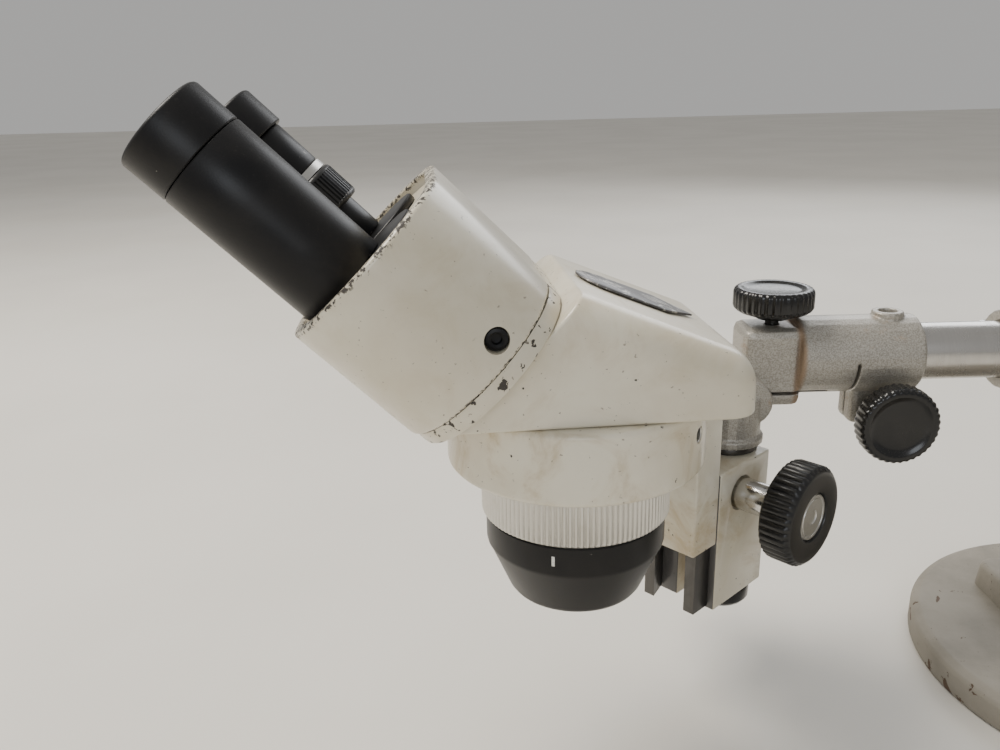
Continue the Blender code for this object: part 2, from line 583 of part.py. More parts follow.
def focus_block(frame):
    """The fixed half of the focus: the block on the yaw pin, its rails and its pinion."""
    half = BLOCK_WIDTH / 2
    middle_x = (BLOCK_FRONT + BLOCK_BEHIND_PIN) / 2
    housing = block("focus_block", (BLOCK_LENGTH, BLOCK_WIDTH, BLOCK_HEIGHT),
                    (middle_x, 0, BLOCK_TOP - BLOCK_HEIGHT / 2), "cream_paint", frame, edge=0.001)
    pin_bore = cylinder("yaw_bore", PIN_RADIUS + GAP, BLOCK_BASE - PAST, BLOCK_TOP + PAST, None,
                        frame, steps=14)
    shaft_at = (-PINION_AHEAD, 0, PINION_HEIGHT)
    shaft_bore = cylinder("shaft_bore", SHAFT_RADIUS + GAP, -half - PAST, half + PAST, None,
                          frame, at=shaft_at, turn=ALONG_MINUS_Y, steps=14)
    gear_tip = PITCH_RADIUS + GEAR_MODULE
    pocket_back = -PINION_AHEAD + gear_tip + GAP
    pocket_width = RACK_WIDTH + 4 * GAP
    pocket_front = BLOCK_FRONT - 0.005
    pocket = block("rack_channel", (pocket_back - pocket_front, pocket_width,
                                    BLOCK_HEIGHT + 0.02),
                   ((pocket_back + pocket_front) / 2, 0, BLOCK_TOP - BLOCK_HEIGHT / 2), None,
                   frame)
    counterbores = [
        cylinder(f"sleeve_seat_{side}", SLEEVE_TUBE_RADIUS + 0.001, half - 0.0025, half + PAST,
                 None, frame, at=shaft_at, turn=turn, steps=18)
        for side, turn in (("right", ALONG_MINUS_Y), ("left", ALONG_Y))]
    cut(housing, pin_bore, shaft_bore, pocket, *counterbores)

    rail_top = BLOCK_TOP - 0.001
    back = BLOCK_FRONT - GAP
    outer = half - CHEEK - GAP
    for side, sign in (("right", -1), ("left", 1)):
        outline = [(back, sign * outer), (RAIL_FRONT, sign * outer),
                   (RAIL_FRONT, sign * RAIL_INNER_FRONT), (back, sign * RAIL_INNER_BACK)]
        slab(f"rail_{side}", outline, RAIL_HEIGHT, "dark_steel", frame,
             at=(0, 0, rail_top - RAIL_HEIGHT / 2))

    tip = gear_tip - 0.0002
    gear = slab("pinion_shaft", gear_outline(GEAR_TEETH, GEAR_MODULE, tip - PITCH_RADIUS,
                                             PITCH_RADIUS - 0.0011, 0.42),
                RACK_WIDTH, "steel", frame, at=shaft_at,
                turn=ALONG_MINUS_Y)
    shaft_reach = half + GAP + SLEEVE_TUBE_LENGTH + FOCUS_KNOB_WIDTH * 0.6
    shaft = cylinder("shaft_bar", SHAFT_RADIUS, -shaft_reach, shaft_reach, None, frame,
                     at=shaft_at, turn=ALONG_MINUS_Y, steps=14)
    join(gear, shaft)
    for side, turn, sign in (("right", ALONG_MINUS_Y, -1), ("left", ALONG_Y, 1)):
        sleeve_low = half - 0.0025 + GAP
        sleeve_high = half + SLEEVE_TUBE_LENGTH
        tube(f"shaft_sleeve_{side}", SLEEVE_TUBE_RADIUS, SHAFT_RADIUS + GAP, sleeve_low,
             sleeve_high, "steel", frame, at=shaft_at, turn=turn, edge=0.0005, steps=18)
        low = sleeve_high + GAP
        high = low + FOCUS_KNOB_WIDTH
        radius = FOCUS_KNOB_RADIUS
        inner = SHAFT_RADIUS + GAP
        recess = KNOB_DISC_RADIUS + GAP
        floor = low + FOCUS_KNOB_WIDTH * 0.6 + 2 * GAP
        turned(f"focus_knob_{side}", [
            (recess, high - 0.0008), (radius - 0.003, high), (radius, high - 0.002),
            (radius, low + 0.0045), (radius - 0.0012, low + 0.0032), (radius * 0.72, low),
            (inner, low), (inner, floor), (recess, floor)], "black_plastic", frame, at=shaft_at,
            turn=turn, steps=26)
        cylinder(f"knob_disc_{side}", KNOB_DISC_RADIUS, floor + GAP, high - 0.0004, "aluminium",
                 frame, at=shaft_at, turn=turn, edge=0.0005, steps=20)


def rack_outline(length):
    """The rack's side outline: X is its depth with the teeth at +X, Y is its height."""
    pitch = math.pi * GEAR_MODULE
    tip = GEAR_MODULE - 0.0002
    root = -0.0011
    quarter = pitch / 4
    count = int(length / pitch)
    start = -count * pitch / 2
    points = [(RACK_FRONT - RACK_PITCH_X, start + count * pitch),
              (RACK_FRONT - RACK_PITCH_X, start)]
    for i in range(count):
        tooth = start + (i + 0.5) * pitch
        points += [(root, tooth - 1.15 * quarter), (tip, tooth - 0.45 * quarter),
                   (tip, tooth + 0.45 * quarter), (root, tooth + 1.15 * quarter)]
    return [points[0], points[1], (root, start)] + points[2:] + [(root, start + count * pitch)]


def carriage(frame):
    """The moving half of the focus: the slide, its rack, and the ring holder's bracket."""
    half = BLOCK_WIDTH / 2
    bracket_front = RAIL_FRONT - 0.003 - PLATE
    bracket_base = RING_TOP - BRACKET_HEIGHT
    slide_base = bracket_base + 0.002
    slide_height = RING_TOP - 0.012 - slide_base
    slide_back = BLOCK_FRONT - 2 * GAP
    slide_front = bracket_front + PLATE + GAP
    slope = (RAIL_INNER_BACK - RAIL_INNER_FRONT) / RAIL_DEPTH
    back_half = RAIL_INNER_BACK - 2 * GAP - slope * GAP
    front_half = RAIL_INNER_FRONT - 2 * GAP
    outline = [(slide_back, back_half), (RAIL_FRONT, front_half), (slide_front, front_half),
               (slide_front, -front_half), (RAIL_FRONT, -front_half), (slide_back, -back_half)]
    slab("focus_slide", outline, slide_height, "dark_steel", frame,
         at=(0, 0, slide_base + slide_height / 2))
    pitch = math.pi * GEAR_MODULE
    teeth_down = int((PINION_HEIGHT - slide_base) / pitch)
    teeth_up = int((slide_base + slide_height - PINION_HEIGHT) / pitch)
    count = teeth_down + teeth_up
    rack_length = (count + 0.2) * pitch
    centre = PINION_HEIGHT + (teeth_up - teeth_down) / 2 * pitch
    rack = slab("rack", rack_outline(rack_length), RACK_WIDTH, "brass", frame,
                at=(RACK_PITCH_X, 0, centre), turn=(math.pi / 2, 0, 0))
    stem_front = slide_back + GAP
    stem = block("rack_stem", (RACK_FRONT - stem_front + 0.001, RACK_WIDTH, count * pitch),
                 ((RACK_FRONT + stem_front + 0.001) / 2, 0, centre), None, frame)
    join(rack, stem)

    ring_centre = (-ARM_LENGTH, 0, 0)
    holder = turned("ring_holder", [
        (SEAT_RADIUS + GAP, RING_TOP), (RING_RADIUS - 0.0015, RING_TOP),
        (RING_RADIUS, RING_TOP - 0.0015), (RING_RADIUS, RING_BASE + 0.0015),
        (RING_RADIUS - 0.0015, RING_BASE), (SEAT_RADIUS - 0.003, RING_BASE),
        (SEAT_RADIUS - 0.003, RING_BASE + 0.003), (SEAT_RADIUS + GAP, RING_BASE + 0.003)],
        "cream_paint", frame, at=ring_centre, steps=40)
    plate = block("bracket_plate", (PLATE, BLOCK_WIDTH, BRACKET_HEIGHT),
                  (bracket_front + PLATE / 2, 0, RING_TOP - BRACKET_HEIGHT / 2), None, frame)
    neck_front = -ARM_LENGTH + SEAT_RADIUS + 0.003
    neck = block("bracket_neck", (bracket_front - neck_front + 0.001, BLOCK_WIDTH,
                                  RING_HEIGHT - 0.001),
                 ((bracket_front + neck_front + 0.001) / 2, 0,
                  RING_TOP - RING_HEIGHT / 2 - 0.0005), None, frame)
    cheek_back = BLOCK_FRONT - 2 * GAP
    cheek_front = bracket_front + 0.001
    cheeks = [
        block(f"cheek_{side}", (cheek_back - cheek_front, CHEEK, BRACKET_HEIGHT - 0.0004),
              ((cheek_back + cheek_front) / 2, sign * (half - CHEEK / 2 - 0.0001),
               RING_TOP - BRACKET_HEIGHT / 2), None, frame)
        for side, sign in (("right", -1), ("left", 1))]
    join(holder, neck, plate, *cheeks)
    dowel = cylinder("bracket_dowel_hole", 0.0016, -PAST, PAST, None, frame,
                     at=(bracket_front, -0.001, bracket_base + 0.022), turn=ALONG_X, steps=10)
    hole_turn = LOCK_HOLE_TURN - FOCUS_YAW
    lock_hole = cylinder("lock_hole", LOCK_HOLE_RADIUS, SEAT_RADIUS - 0.004, RING_RADIUS + PAST,
                         None, frame, at=(-ARM_LENGTH, 0, RING_BASE + LOCK_HOLE_RISE),
                         turn=(0, math.pi / 2, hole_turn), steps=12)
    cut(holder, dowel, lock_hole)


def pod(frame, head):
    """Everything that turns in the ring: the seat, the shell, and the lower barrel."""
    seat_floor = RING_BASE + 0.003 + GAP
    turned("pod_seat", [
        (SEAT_RADIUS - 0.006, RING_TOP - 0.001), (SEAT_RADIUS - GAP, RING_TOP - 0.001),
        (SEAT_RADIUS - GAP, seat_floor), (NECK_TUBE_RADIUS, seat_floor),
        (NECK_TUBE_RADIUS, CONE_TOP - CONE_STRAIGHT), (NECK_TUBE_RADIUS - 0.003, CONE_TOP - 0.0125),
        (NECK_TUBE_RADIUS - 0.003, seat_floor + 0.004), (SEAT_RADIUS - 0.006, seat_floor + 0.004)],
        "black_paint", frame, steps=26)

    floor = RING_TOP + GAP
    face_back = HOUSING_LENGTH + FLANGE_THICKNESS + 2 * GAP
    slope = math.tan(HEAD_ANGLE)
    plane_x = FACE_X + face_back * math.cos(HEAD_ANGLE)
    plane_z = FACE_HEIGHT - face_back * math.sin(HEAD_ANGLE)
    bottom_front = plane_x - (plane_z - floor) / slope
    crown = plane_z + POD_CROWN
    top_front = plane_x + (crown - plane_z) / slope
    rear_top = RING_TOP + POD_REAR_TOP
    top_turn = math.radians(70)

    def side_outline(wall):
        """The shell's side view, wall inside its outer surface."""
        rear = POD_REAR - wall
        corner = (rear - POD_REAR_RADIUS, rear_top - POD_REAR_RADIUS * math.sin(top_turn) - wall)
        return ([(bottom_front + 2.4 * wall, floor), (top_front + 0.4 * wall, crown - wall)]
                + arc(corner, POD_REAR_RADIUS, math.degrees(top_turn), 0, 6)
                + [(rear, floor)])

    shell = slab("pod_shell", side_outline(0), POD_WIDTH, "cream_paint", frame,
                 turn=(math.pi / 2, 0, 0))
    bevel(shell, 0.010, 3, 20)
    inside = slab("pod_hollow", side_outline(POD_WALL * 1.6), POD_WIDTH - 5 * POD_WALL, None,
                  frame, turn=(math.pi / 2, 0, 0))
    mouth = cylinder("pod_mouth", SEAT_RADIUS - 0.006, floor - PAST, floor + 0.012, None, frame,
                     steps=24)
    window = block("pod_window", (0.040, 0.060, 0.030), (0, 0, -face_back), None, head)
    inside.location.z = POD_WALL * 0.7
    cut(shell, inside, mouth, window)

    top_end = POD_REAR - POD_REAR_RADIUS * (1 - math.cos(top_turn))
    plate_tilt = -math.atan2(crown - rear_top, top_end - top_front)
    plate_x = (top_front + POD_REAR) / 2 - 0.004
    plate_z = crown + (plate_x - top_front) * math.tan(plate_tilt)
    outline = (arc((-0.012, 0), 0.0125, 90, 270, 8)
               + [(0.010, -0.0125), (0.024, 0), (0.010, 0.0125)])
    slab("nameplate", outline, 0.0008, "aluminium", frame,
         at=(plate_x, 0, plate_z + 0.0004 + 2 * GAP), turn=(0, -plate_tilt, 0))

    turned("zoom_ring", [
        (NECK_TUBE_RADIUS + GAP, ZOOM_TOP), (ZOOM_RADIUS - 0.0008, ZOOM_TOP),
        (ZOOM_RADIUS, ZOOM_TOP - 0.0008), (ZOOM_RADIUS, ZOOM_BASE + 0.0012),
        (ZOOM_RADIUS - 0.0012, ZOOM_BASE), (NECK_TUBE_RADIUS + GAP, ZOOM_BASE)],
        "aluminium", frame, steps=40)
    screw_turn = (0, math.pi / 2, GRIP_SCREW_TURN - POD_YAW)
    screw_at = (0, 0, ZOOM_TOP - 0.0065)
    screw_hole = cylinder("zoom_screw_hole", 0.0018, ZOOM_RADIUS - 0.004, ZOOM_RADIUS + PAST,
                          None, frame, at=screw_at, turn=screw_turn, steps=10)
    cut(bpy.data.objects["zoom_ring"], screw_hole)
    cylinder("zoom_ring_screw", 0.0018 - GAP, ZOOM_RADIUS - 0.004 + GAP, ZOOM_RADIUS - 0.0012,
             "dark_steel", frame, at=screw_at, turn=screw_turn, steps=10)

    bend = CONE_TOP - CONE_STRAIGHT
    wall = 0.003
    turned("objective_cone", [
        (NECK_TUBE_RADIUS + GAP, CONE_TOP), (CONE_RADIUS - 0.0006, CONE_TOP),
        (CONE_RADIUS, CONE_TOP - 0.0006), (CONE_RADIUS, bend),
        (CONE_TIP_RADIUS, CONE_BASE + 0.001), (CONE_TIP_RADIUS - 0.0012, CONE_BASE),
        (FRONT_LENS_RADIUS - 0.002, CONE_BASE), (FRONT_LENS_RADIUS + GAP, CONE_BASE + wall),
        (FRONT_LENS_RADIUS + GAP, CONE_BASE + 0.010),
        (NECK_TUBE_RADIUS - 0.003, bend - GAP - 0.002),
        (NECK_TUBE_RADIUS + GAP, bend - GAP - 0.002)], "black_paint", frame, steps=40)
    lens = FRONT_LENS_RADIUS
    turned("objective_lens", [
        (0, CONE_BASE + 0.010), (lens, CONE_BASE + 0.010), (lens, CONE_BASE + wall + GAP),
        (lens * 0.8, CONE_BASE + 0.0022), (lens * 0.4, CONE_BASE + 0.0012),
        (0, CONE_BASE + 0.0009)], "glass", frame, steps=24)
    for side, sign in (("right", -1), ("left", 1)):
        cylinder(f"zoom_lens_cell_{side}", 0.0095, CONE_BASE + 0.016, RING_TOP - 0.004, "brass",
                 frame, at=(0, sign * 0.0115, 0), edge=0.0008, steps=14)


def head_parts(head):
    """The slanted head. Local Z is the eyepieces' axis, Z = 0 the housing's front face."""
    rear = -HOUSING_LENGTH
    housing = slab("prism_housing", stadium(HOUSING_HALF_HEIGHT, HOUSING_HALF_WIDTH),
                   HOUSING_LENGTH, "cream_paint", head, at=(0, 0, rear / 2))
    bevel(housing, 0.0012, 2, 60)
    inner_height = HOUSING_HALF_HEIGHT - HOUSING_WALL
    inner_width = HOUSING_HALF_WIDTH - HOUSING_WALL
    hollow = slab("housing_hollow", stadium(inner_height, inner_width), HOUSING_LENGTH,
                  None, head, at=(0, 0, rear / 2 - RECESS_DEPTH - 0.004))
    recess = slab("face_recess", stadium(HOUSING_HALF_HEIGHT - RECESS_MARGIN,
                                         HOUSING_HALF_WIDTH - RECESS_MARGIN),
                  RECESS_DEPTH * 2, None, head)
    cut(housing, hollow, recess)
    pockets = []
    screws = (("housing_side_screw", (0.0134, 0.0455), -1), ("housing_base_screw", (0, 0.044), 0))
    for name, (rise, behind), side in screws:
        if side:
            wall_out = (HOUSING_HALF_WIDTH - HOUSING_HALF_HEIGHT
                        + math.sqrt(HOUSING_HALF_HEIGHT ** 2 - rise ** 2))
            at, turn = (rise, 0, -behind), ALONG_MINUS_Y
        else:
            wall_out = HOUSING_HALF_HEIGHT
            at, turn = (0, -0.018, -behind), ALONG_MINUS_X
        pockets.append(cylinder(name + "_hole", 0.0042, wall_out - 0.006, wall_out + 0.006, None,
                                head, at=at, turn=turn, steps=12))
        turned(name, [(0, wall_out - 0.0032), (0.0018, wall_out - 0.0032),
                      (0.0018, wall_out - 0.0010), (0.0034, wall_out - 0.0010),
                      (0.0038, wall_out - 0.0016), (0.0038, wall_out - 0.0045),
                      (0, wall_out - 0.0045)],
               "dark_steel", head, at=at, turn=turn, steps=12)
    cut(housing, *pockets)

    plate_height = HOUSING_HALF_HEIGHT - FLANGE_INSET
    plate_width = HOUSING_HALF_WIDTH - 2 * FLANGE_INSET
    flange = slab("head_flange", stadium(plate_height, plate_width), FLANGE_THICKNESS,
                  "cream_paint", head,
                  at=(FLANGE_INSET / 2, 0, rear - GAP - FLANGE_THICKNESS / 2))
    window = slab("flange_window", stadium(0.016, 0.036), FLANGE_THICKNESS + PAST, None, head,
                  at=(0.004, 0, rear - FLANGE_THICKNESS / 2))
    cut(flange, window)

    offset_across = EYE_HALF_SPACING - TURRET_SPACING
    for side, sign in (("right", -1), ("left", 1)):
        turret_at = (0, sign * TURRET_SPACING, 0)
        tube_at = (-EYE_DROP, sign * EYE_HALF_SPACING, 0)
        disc_low = -RECESS_DEPTH + GAP
        disc_high = disc_low + 0.0028
        turret = cylinder(f"turret_{side}", TURRET_RADIUS, disc_low, disc_high, "black_paint",
                          head, at=turret_at, edge=0.0004, steps=20)
        light_way = cylinder(f"turret_way_{side}", 0.008, disc_low - PAST, disc_high + PAST,
                             None, head, at=tube_at, steps=14)
        cut(turret, light_way)
        block(f"prism_{side}", (0.022, 0.022, 0.024),
              (0, sign * (TURRET_SPACING + offset_across / 2), -RECESS_DEPTH - 0.022), "glass",
              head, edge=0.001)
    right_eyepiece(head)
    left_eyepiece(head)


def eyecup(name, radius, low, head, at):
    """A rubbery cup on the end of a tube, with a shallow well for the lens."""
    high = low + EYECUP_LENGTH
    turned(name, [
        (LENS_RADIUS + 0.003, high), (radius - 0.0022, high), (radius - 0.0006, high - 0.0008),
        (radius, high - 0.0024), (radius, low), (0.0075, low), (0.0075, high - 0.009),
        (LENS_RADIUS + GAP, high - 0.009), (LENS_RADIUS + GAP, high - 0.0045)],
        "black_plastic", head, at=at, steps=26)
    turned(name.replace("cup", "_lens"), [
        (0, high - 0.0048), (LENS_RADIUS * 0.6, high - 0.0053), (LENS_RADIUS, high - 0.0062),
        (LENS_RADIUS, high - 0.009 + GAP), (0, high - 0.009 + GAP)],
        "glass", head, at=at, steps=18)


def right_eyepiece(head):
    at = (-EYE_DROP, -EYE_HALF_SPACING, 0)
    low = -RECESS_DEPTH + 0.0028 + 2 * GAP
    tube("right_tube", TUBE_RADIUS, 0.011, low, TUBE_LENGTH, "black_paint", head, at=at,
         steps=26)
    eyecup("right_eyecup", TUBE_RADIUS, TUBE_LENGTH + GAP, head, at)


def left_eyepiece(head):
    at = (-EYE_DROP, EYE_HALF_SPACING, 0)
    low = -RECESS_DEPTH + 0.0028 + 2 * GAP
    ring_low = 0.014
    ring_high = ring_low + DIOPTER_LENGTH
    tube("left_neck", NECK_RADIUS, 0.009, low, ring_high - 0.003, "black_paint", head, at=at,
         edge=0.0005, steps=24)
    tube("diopter_ring", DIOPTER_RADIUS, NECK_RADIUS + GAP, ring_low, ring_high,
         "black_plastic", head, at=at, edge=0.0012, steps=26)
    band_low = ring_high + GAP
    band_high = band_low + 0.0032
    tube("silver_band", LEFT_BARREL_RADIUS + 0.0004, 0.0100, band_low, band_high, "aluminium",
         head, at=at, steps=24)
    tube("left_barrel", LEFT_BARREL_RADIUS, 0.0100, band_high + GAP, LEFT_TUBE_LENGTH,
         "black_paint", head, at=at, steps=24)
    eyecup("left_eyecup", TUBE_RADIUS, LEFT_TUBE_LENGTH + GAP, head, at)


def main():
    base_and_post()
    stop_collar("post_stop_collar", (0, 0, COLLAR_HEIGHT), (0, 0, 0), ALONG_MINUS_Y)
    stop_collar("boom_stop_collar", (STOP_COLLAR_X, AXES_APART, BOOM_HEIGHT), ALONG_X, ALONG_Y)
    cross_clamp()
    boom()
    boom_bracket()
    hanger()
    focus_frame = frame_empty("focus_frame", (PIN_X, PIN_Y, 0), (0, 0, FOCUS_YAW))
    focus_block(focus_frame)
    carriage(focus_frame)
    axis_x = PIN_X - ARM_LENGTH * math.cos(FOCUS_YAW)
    axis_y = PIN_Y - ARM_LENGTH * math.sin(FOCUS_YAW)
    pod_frame = frame_empty("pod_frame", (axis_x, axis_y, 0), (0, 0, POD_YAW))
    head = frame_empty("head_frame", (FACE_X, 0, FACE_HEIGHT), (0, -HEAD_ANGLE, 0), pod_frame)
    pod(pod_frame, head)
    head_parts(head)


main()
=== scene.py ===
"""A stereo zoom microscope on a boom stand: its visible surfaces, finishes, light and camera."""
import json
import math

import bmesh
import bpy
from mathutils import Matrix, Vector


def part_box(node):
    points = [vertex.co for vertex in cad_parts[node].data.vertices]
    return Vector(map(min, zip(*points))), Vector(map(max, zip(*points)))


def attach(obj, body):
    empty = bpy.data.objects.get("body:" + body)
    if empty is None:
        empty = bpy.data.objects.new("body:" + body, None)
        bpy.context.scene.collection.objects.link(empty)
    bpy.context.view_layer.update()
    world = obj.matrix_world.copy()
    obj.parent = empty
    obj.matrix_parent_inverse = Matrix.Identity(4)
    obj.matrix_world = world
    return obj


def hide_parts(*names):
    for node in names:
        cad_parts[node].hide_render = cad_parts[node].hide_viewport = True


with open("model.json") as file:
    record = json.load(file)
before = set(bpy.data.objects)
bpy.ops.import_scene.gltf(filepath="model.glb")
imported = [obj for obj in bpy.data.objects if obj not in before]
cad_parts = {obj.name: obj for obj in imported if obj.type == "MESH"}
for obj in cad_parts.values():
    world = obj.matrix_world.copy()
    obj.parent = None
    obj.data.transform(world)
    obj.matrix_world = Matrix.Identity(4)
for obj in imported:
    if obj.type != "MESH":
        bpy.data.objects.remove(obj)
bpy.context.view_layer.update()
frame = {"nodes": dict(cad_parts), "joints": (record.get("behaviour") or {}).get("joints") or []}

# Sizes in metres and angles in degrees. What is not here is read from the frame.
GAP = 0.0003
FOCUS_YAW = 43
POD_YAW = 4.5
HEAD_SLOPE = 45
RING_SEAT_RADIUS = 0.042
CONE_TIP_RADIUS = 0.0265
CONE_STRAIGHT = 0.0125
SHELL_REAR_RISE = 0.023
SHELL_CROWN_RISE = 0.029
SHELL_ROUNDING = 0.010
RECESS_MARGIN = 0.0045
RECESS_DEPTH = 0.004
BASE_THICKNESS = 0.016
PLINTH_TOP = 0.030
PLINTH_HALF_LENGTH = 0.052
PLINTH_HALF_WIDTH = 0.060
CLAMP_KNOB_HEIGHT = 0.015
RING_HEIGHT = 0.027
FOCUS_SHAFT_BORE = 0.0033
POST_SCREW_HOLE = 0.0033
LOCK_HOLE_RADIUS = 0.0032
CORE_TUBE_RADIUS = 0.030
EYE_LENS_RADIUS = 0.0085
EYECUP_BORE = 0.0075
EYECUP_WELL = 0.009
CLAMP_FLUTES = 36
FOCUS_FLUTES = 40
ZOOM_RIBS = 110
LOCK_HOLE_TURN = -32
LOCK_HOLE_RISE = 0.0165
GRIP_SCREW_TURN = -42
GRIP_SCREW_DROP = 0.0065
TICK_TURN = -108
TICK_ABOVE_BEND = 0.0065
DIOPTER_RIBS = 60

joints = {joint["name"]: joint for joint in frame["joints"]}


# ---- places -------------------------------------------------------------------------------

def aim(at, axis):
    """A frame at that point whose Z runs along the axis."""
    return Matrix.Translation(at) @ Vector(axis).to_track_quat("Z", "Y").to_matrix().to_4x4()


def on_joint(name):
    return aim(joints[name]["pos_m"], joints[name]["axis"])


def upright(at, turn):
    """A frame on the floor below a point, turned that far about Z."""
    return Matrix.Translation((at.x, at.y, 0)) @ Matrix.Rotation(math.radians(turn), 4, "Z")


def local_box(node, place):
    """Lowest and highest corner of a CAD node, measured in another frame."""
    back = place.inverted()
    points = [back @ vertex.co for vertex in frame["nodes"][node].data.vertices]
    return (Vector([min(point[i] for point in points) for i in range(3)]),
            Vector([max(point[i] for point in points) for i in range(3)]))


yaw_pin = Vector(joints["focus_block_yaw"]["pos_m"])
optical_axis = Vector(joints["pod_turn"]["pos_m"])
FOCUS = upright(yaw_pin, FOCUS_YAW)
RING = upright(optical_axis, FOCUS_YAW)
POD = upright(optical_axis, POD_YAW)
eye_hinges = [Vector(joints[name]["pos_m"]) for name in ("right_tube_swing", "left_tube_swing")]
HEAD = (Matrix.Translation((eye_hinges[0] + eye_hinges[1]) / 2)
        @ Matrix.Rotation(math.radians(POD_YAW), 4, "Z")
        @ Matrix.Rotation(math.radians(-HEAD_SLOPE), 4, "Y"))
turret_spread = (eye_hinges[1] - eye_hinges[0]).length / 2


# ---- modelling ----------------------------------------------------------------------------

def only(piece):
    """Selects that object alone and makes it active."""
    bpy.ops.object.select_all(action="DESELECT")
    piece.select_set(True)
    bpy.context.view_layer.objects.active = piece


def added(name):
    """Names the primitive just added and works its place into its mesh."""
    piece = bpy.context.object
    piece.name = name
    bpy.ops.object.transform_apply(location=True, rotation=True, scale=True)
    return piece


def pick(suits, kind="VERT"):
    """In edit mode, selects just the vertices, edges or faces whose centre and normal suit."""
    bpy.ops.mesh.select_mode(type=kind)
    bpy.ops.mesh.select_all(action="DESELECT")
    mesh = bmesh.from_edit_mesh(bpy.context.object.data)
    if kind == "VERT":
        for vertex in mesh.verts:
            vertex.select_set(suits(vertex.co, vertex.normal))
    elif kind == "EDGE":
        for edge in mesh.edges:
            first, second = edge.verts
            edge.select_set(suits((first.co + second.co) / 2, (second.co - first.co).normalized()))
    else:
        for face in mesh.faces:
            face.select_set(suits(face.calc_center_median(), face.normal))
    bmesh.update_edit_mesh(bpy.context.object.data)


def modified(piece, kind, **settings):
    """Adds a modifier with these settings and applies it."""
    only(piece)
    modifier = piece.modifiers.new(kind.lower(), kind)
    for name, setting in settings.items():
        setattr(modifier, name, setting)
    bpy.ops.object.modifier_apply(modifier=modifier.name)
    return piece


def rounded(piece, width, segments=3, angle=30):
    """Rounds the edges sharper than the angle."""
    return modified(piece, "BEVEL", width=width, segments=segments, limit_method="ANGLE",
                    angle_limit=math.radians(angle))


def cut(piece, *tools):
    for tool in tools:
        modified(piece, "BOOLEAN", object=tool, operation="DIFFERENCE")
        bpy.data.objects.remove(tool)
    return piece


def union(piece, *others):
    for other in others:
        modified(piece, "BOOLEAN", object=other, operation="UNION")
        bpy.data.objects.remove(other)
    return piece


def turned(name, profile, steps=96, spread=0.0):
    """A ring drawn out along Z through the profile's (radius, height) points and capped.

    A profile that ends where it starts makes a tube. A spread pulls the two halves apart
    along Y, which turns each circle into an oblong with round ends.
    """
    (radius, height), rest = profile[0], profile[1:]
    bpy.ops.object.select_all(action="DESELECT")
    bpy.ops.mesh.primitive_circle_add(vertices=steps, radius=radius, location=(0, 0, height),
                                      rotation=(0, 0, math.pi / steps))
    piece = added(name)
    bpy.ops.object.mode_set(mode="EDIT")
    bpy.ops.mesh.select_mode(type="VERT")
    bpy.ops.mesh.select_all(action="SELECT")
    for next_radius, next_height in rest:
        bpy.ops.mesh.extrude_region_move(
            TRANSFORM_OT_translate={"value": (0, 0, next_height - height)})
        share = next_radius / radius
        bpy.ops.transform.resize(value=(share, share, 1), center_override=(0, 0, next_height))
        radius, height = next_radius, next_height
    bpy.ops.mesh.select_all(action="SELECT")
    if profile[0] == profile[-1]:
        bpy.ops.mesh.remove_doubles(threshold=1e-6)
    else:
        bpy.ops.mesh.fill_holes(sides=0)
    if spread:
        for side in (1, -1):
            pick(lambda at, normal: at.y * side > 0)
            bpy.ops.transform.translate(value=(0, side * spread, 0))
        bpy.ops.mesh.select_all(action="SELECT")
    bpy.ops.mesh.normals_make_consistent(inside=False)
    bpy.ops.object.mode_set(mode="OBJECT")
    return piece


def fluted(piece, count, depth, low, high, inner, shape):
    """Draws the side wall in towards Z, once for each different depth in one flute's shape."""
    per_flute = len(shape)
    only(piece)
    bpy.ops.object.mode_set(mode="EDIT")
    outer = max(vertex.co.xy.length for vertex in bmesh.from_edit_mesh(piece.data).verts)

    def phase(at):
        turn = math.atan2(at.y, at.x) / (2 * math.pi) * count * per_flute
        return math.floor(turn) % per_flute

    for share in sorted(set(shape) - {0}):
        pick(lambda at, normal: low <= at.z <= high and at.xy.length > inner
             and shape[phase(at)] == share)
        drawn_in = 1 - depth * share / outer
        bpy.ops.transform.resize(value=(drawn_in, drawn_in, 1), center_override=(0, 0, 0))
    bpy.ops.object.mode_set(mode="OBJECT")
    return piece


def box(name, low, high):
    """A cuboid between two corners."""
    low, high = Vector(low), Vector(high)
    bpy.ops.object.select_all(action="DESELECT")
    bpy.ops.mesh.primitive_cube_add(size=1, location=(low + high) / 2, scale=high - low)
    return added(name)


def rod(name, radius, low, high, place=None, steps=48):
    """A cutter: a plain round bar along the Z of a place."""
    bpy.ops.object.select_all(action="DESELECT")
    bpy.ops.mesh.primitive_cylinder_add(vertices=steps, radius=radius, depth=high - low,
                                        location=(0, 0, (low + high) / 2))
    piece = added(name)
    return placed(piece, place) if place else piece


def placed(piece, place):
    """Turns and moves a piece into a frame, with its place worked into its mesh."""
    only(piece)
    piece.matrix_world = place
    bpy.ops.object.transform_apply(location=True, rotation=True, scale=True)
    return piece


def cast_copy(name, node, grain, passes):
    """A cast piece: the CAD node's shape skinned afresh, so that its corners flow into fillets."""
    bpy.ops.object.select_all(action="DESELECT")
    source = frame["nodes"][node]
    piece = bpy.data.objects.new(name, source.data.copy())
    bpy.context.scene.collection.objects.link(piece)
    only(piece)
    bpy.ops.object.mode_set(mode="EDIT")
    bpy.ops.mesh.select_all(action="SELECT")
    bpy.ops.mesh.remove_doubles(threshold=1e-6)
    bpy.ops.object.mode_set(mode="OBJECT")
    modified(piece, "REMESH", mode="VOXEL", voxel_size=grain)
    modified(piece, "SMOOTH", factor=0.5, iterations=passes)
    return piece


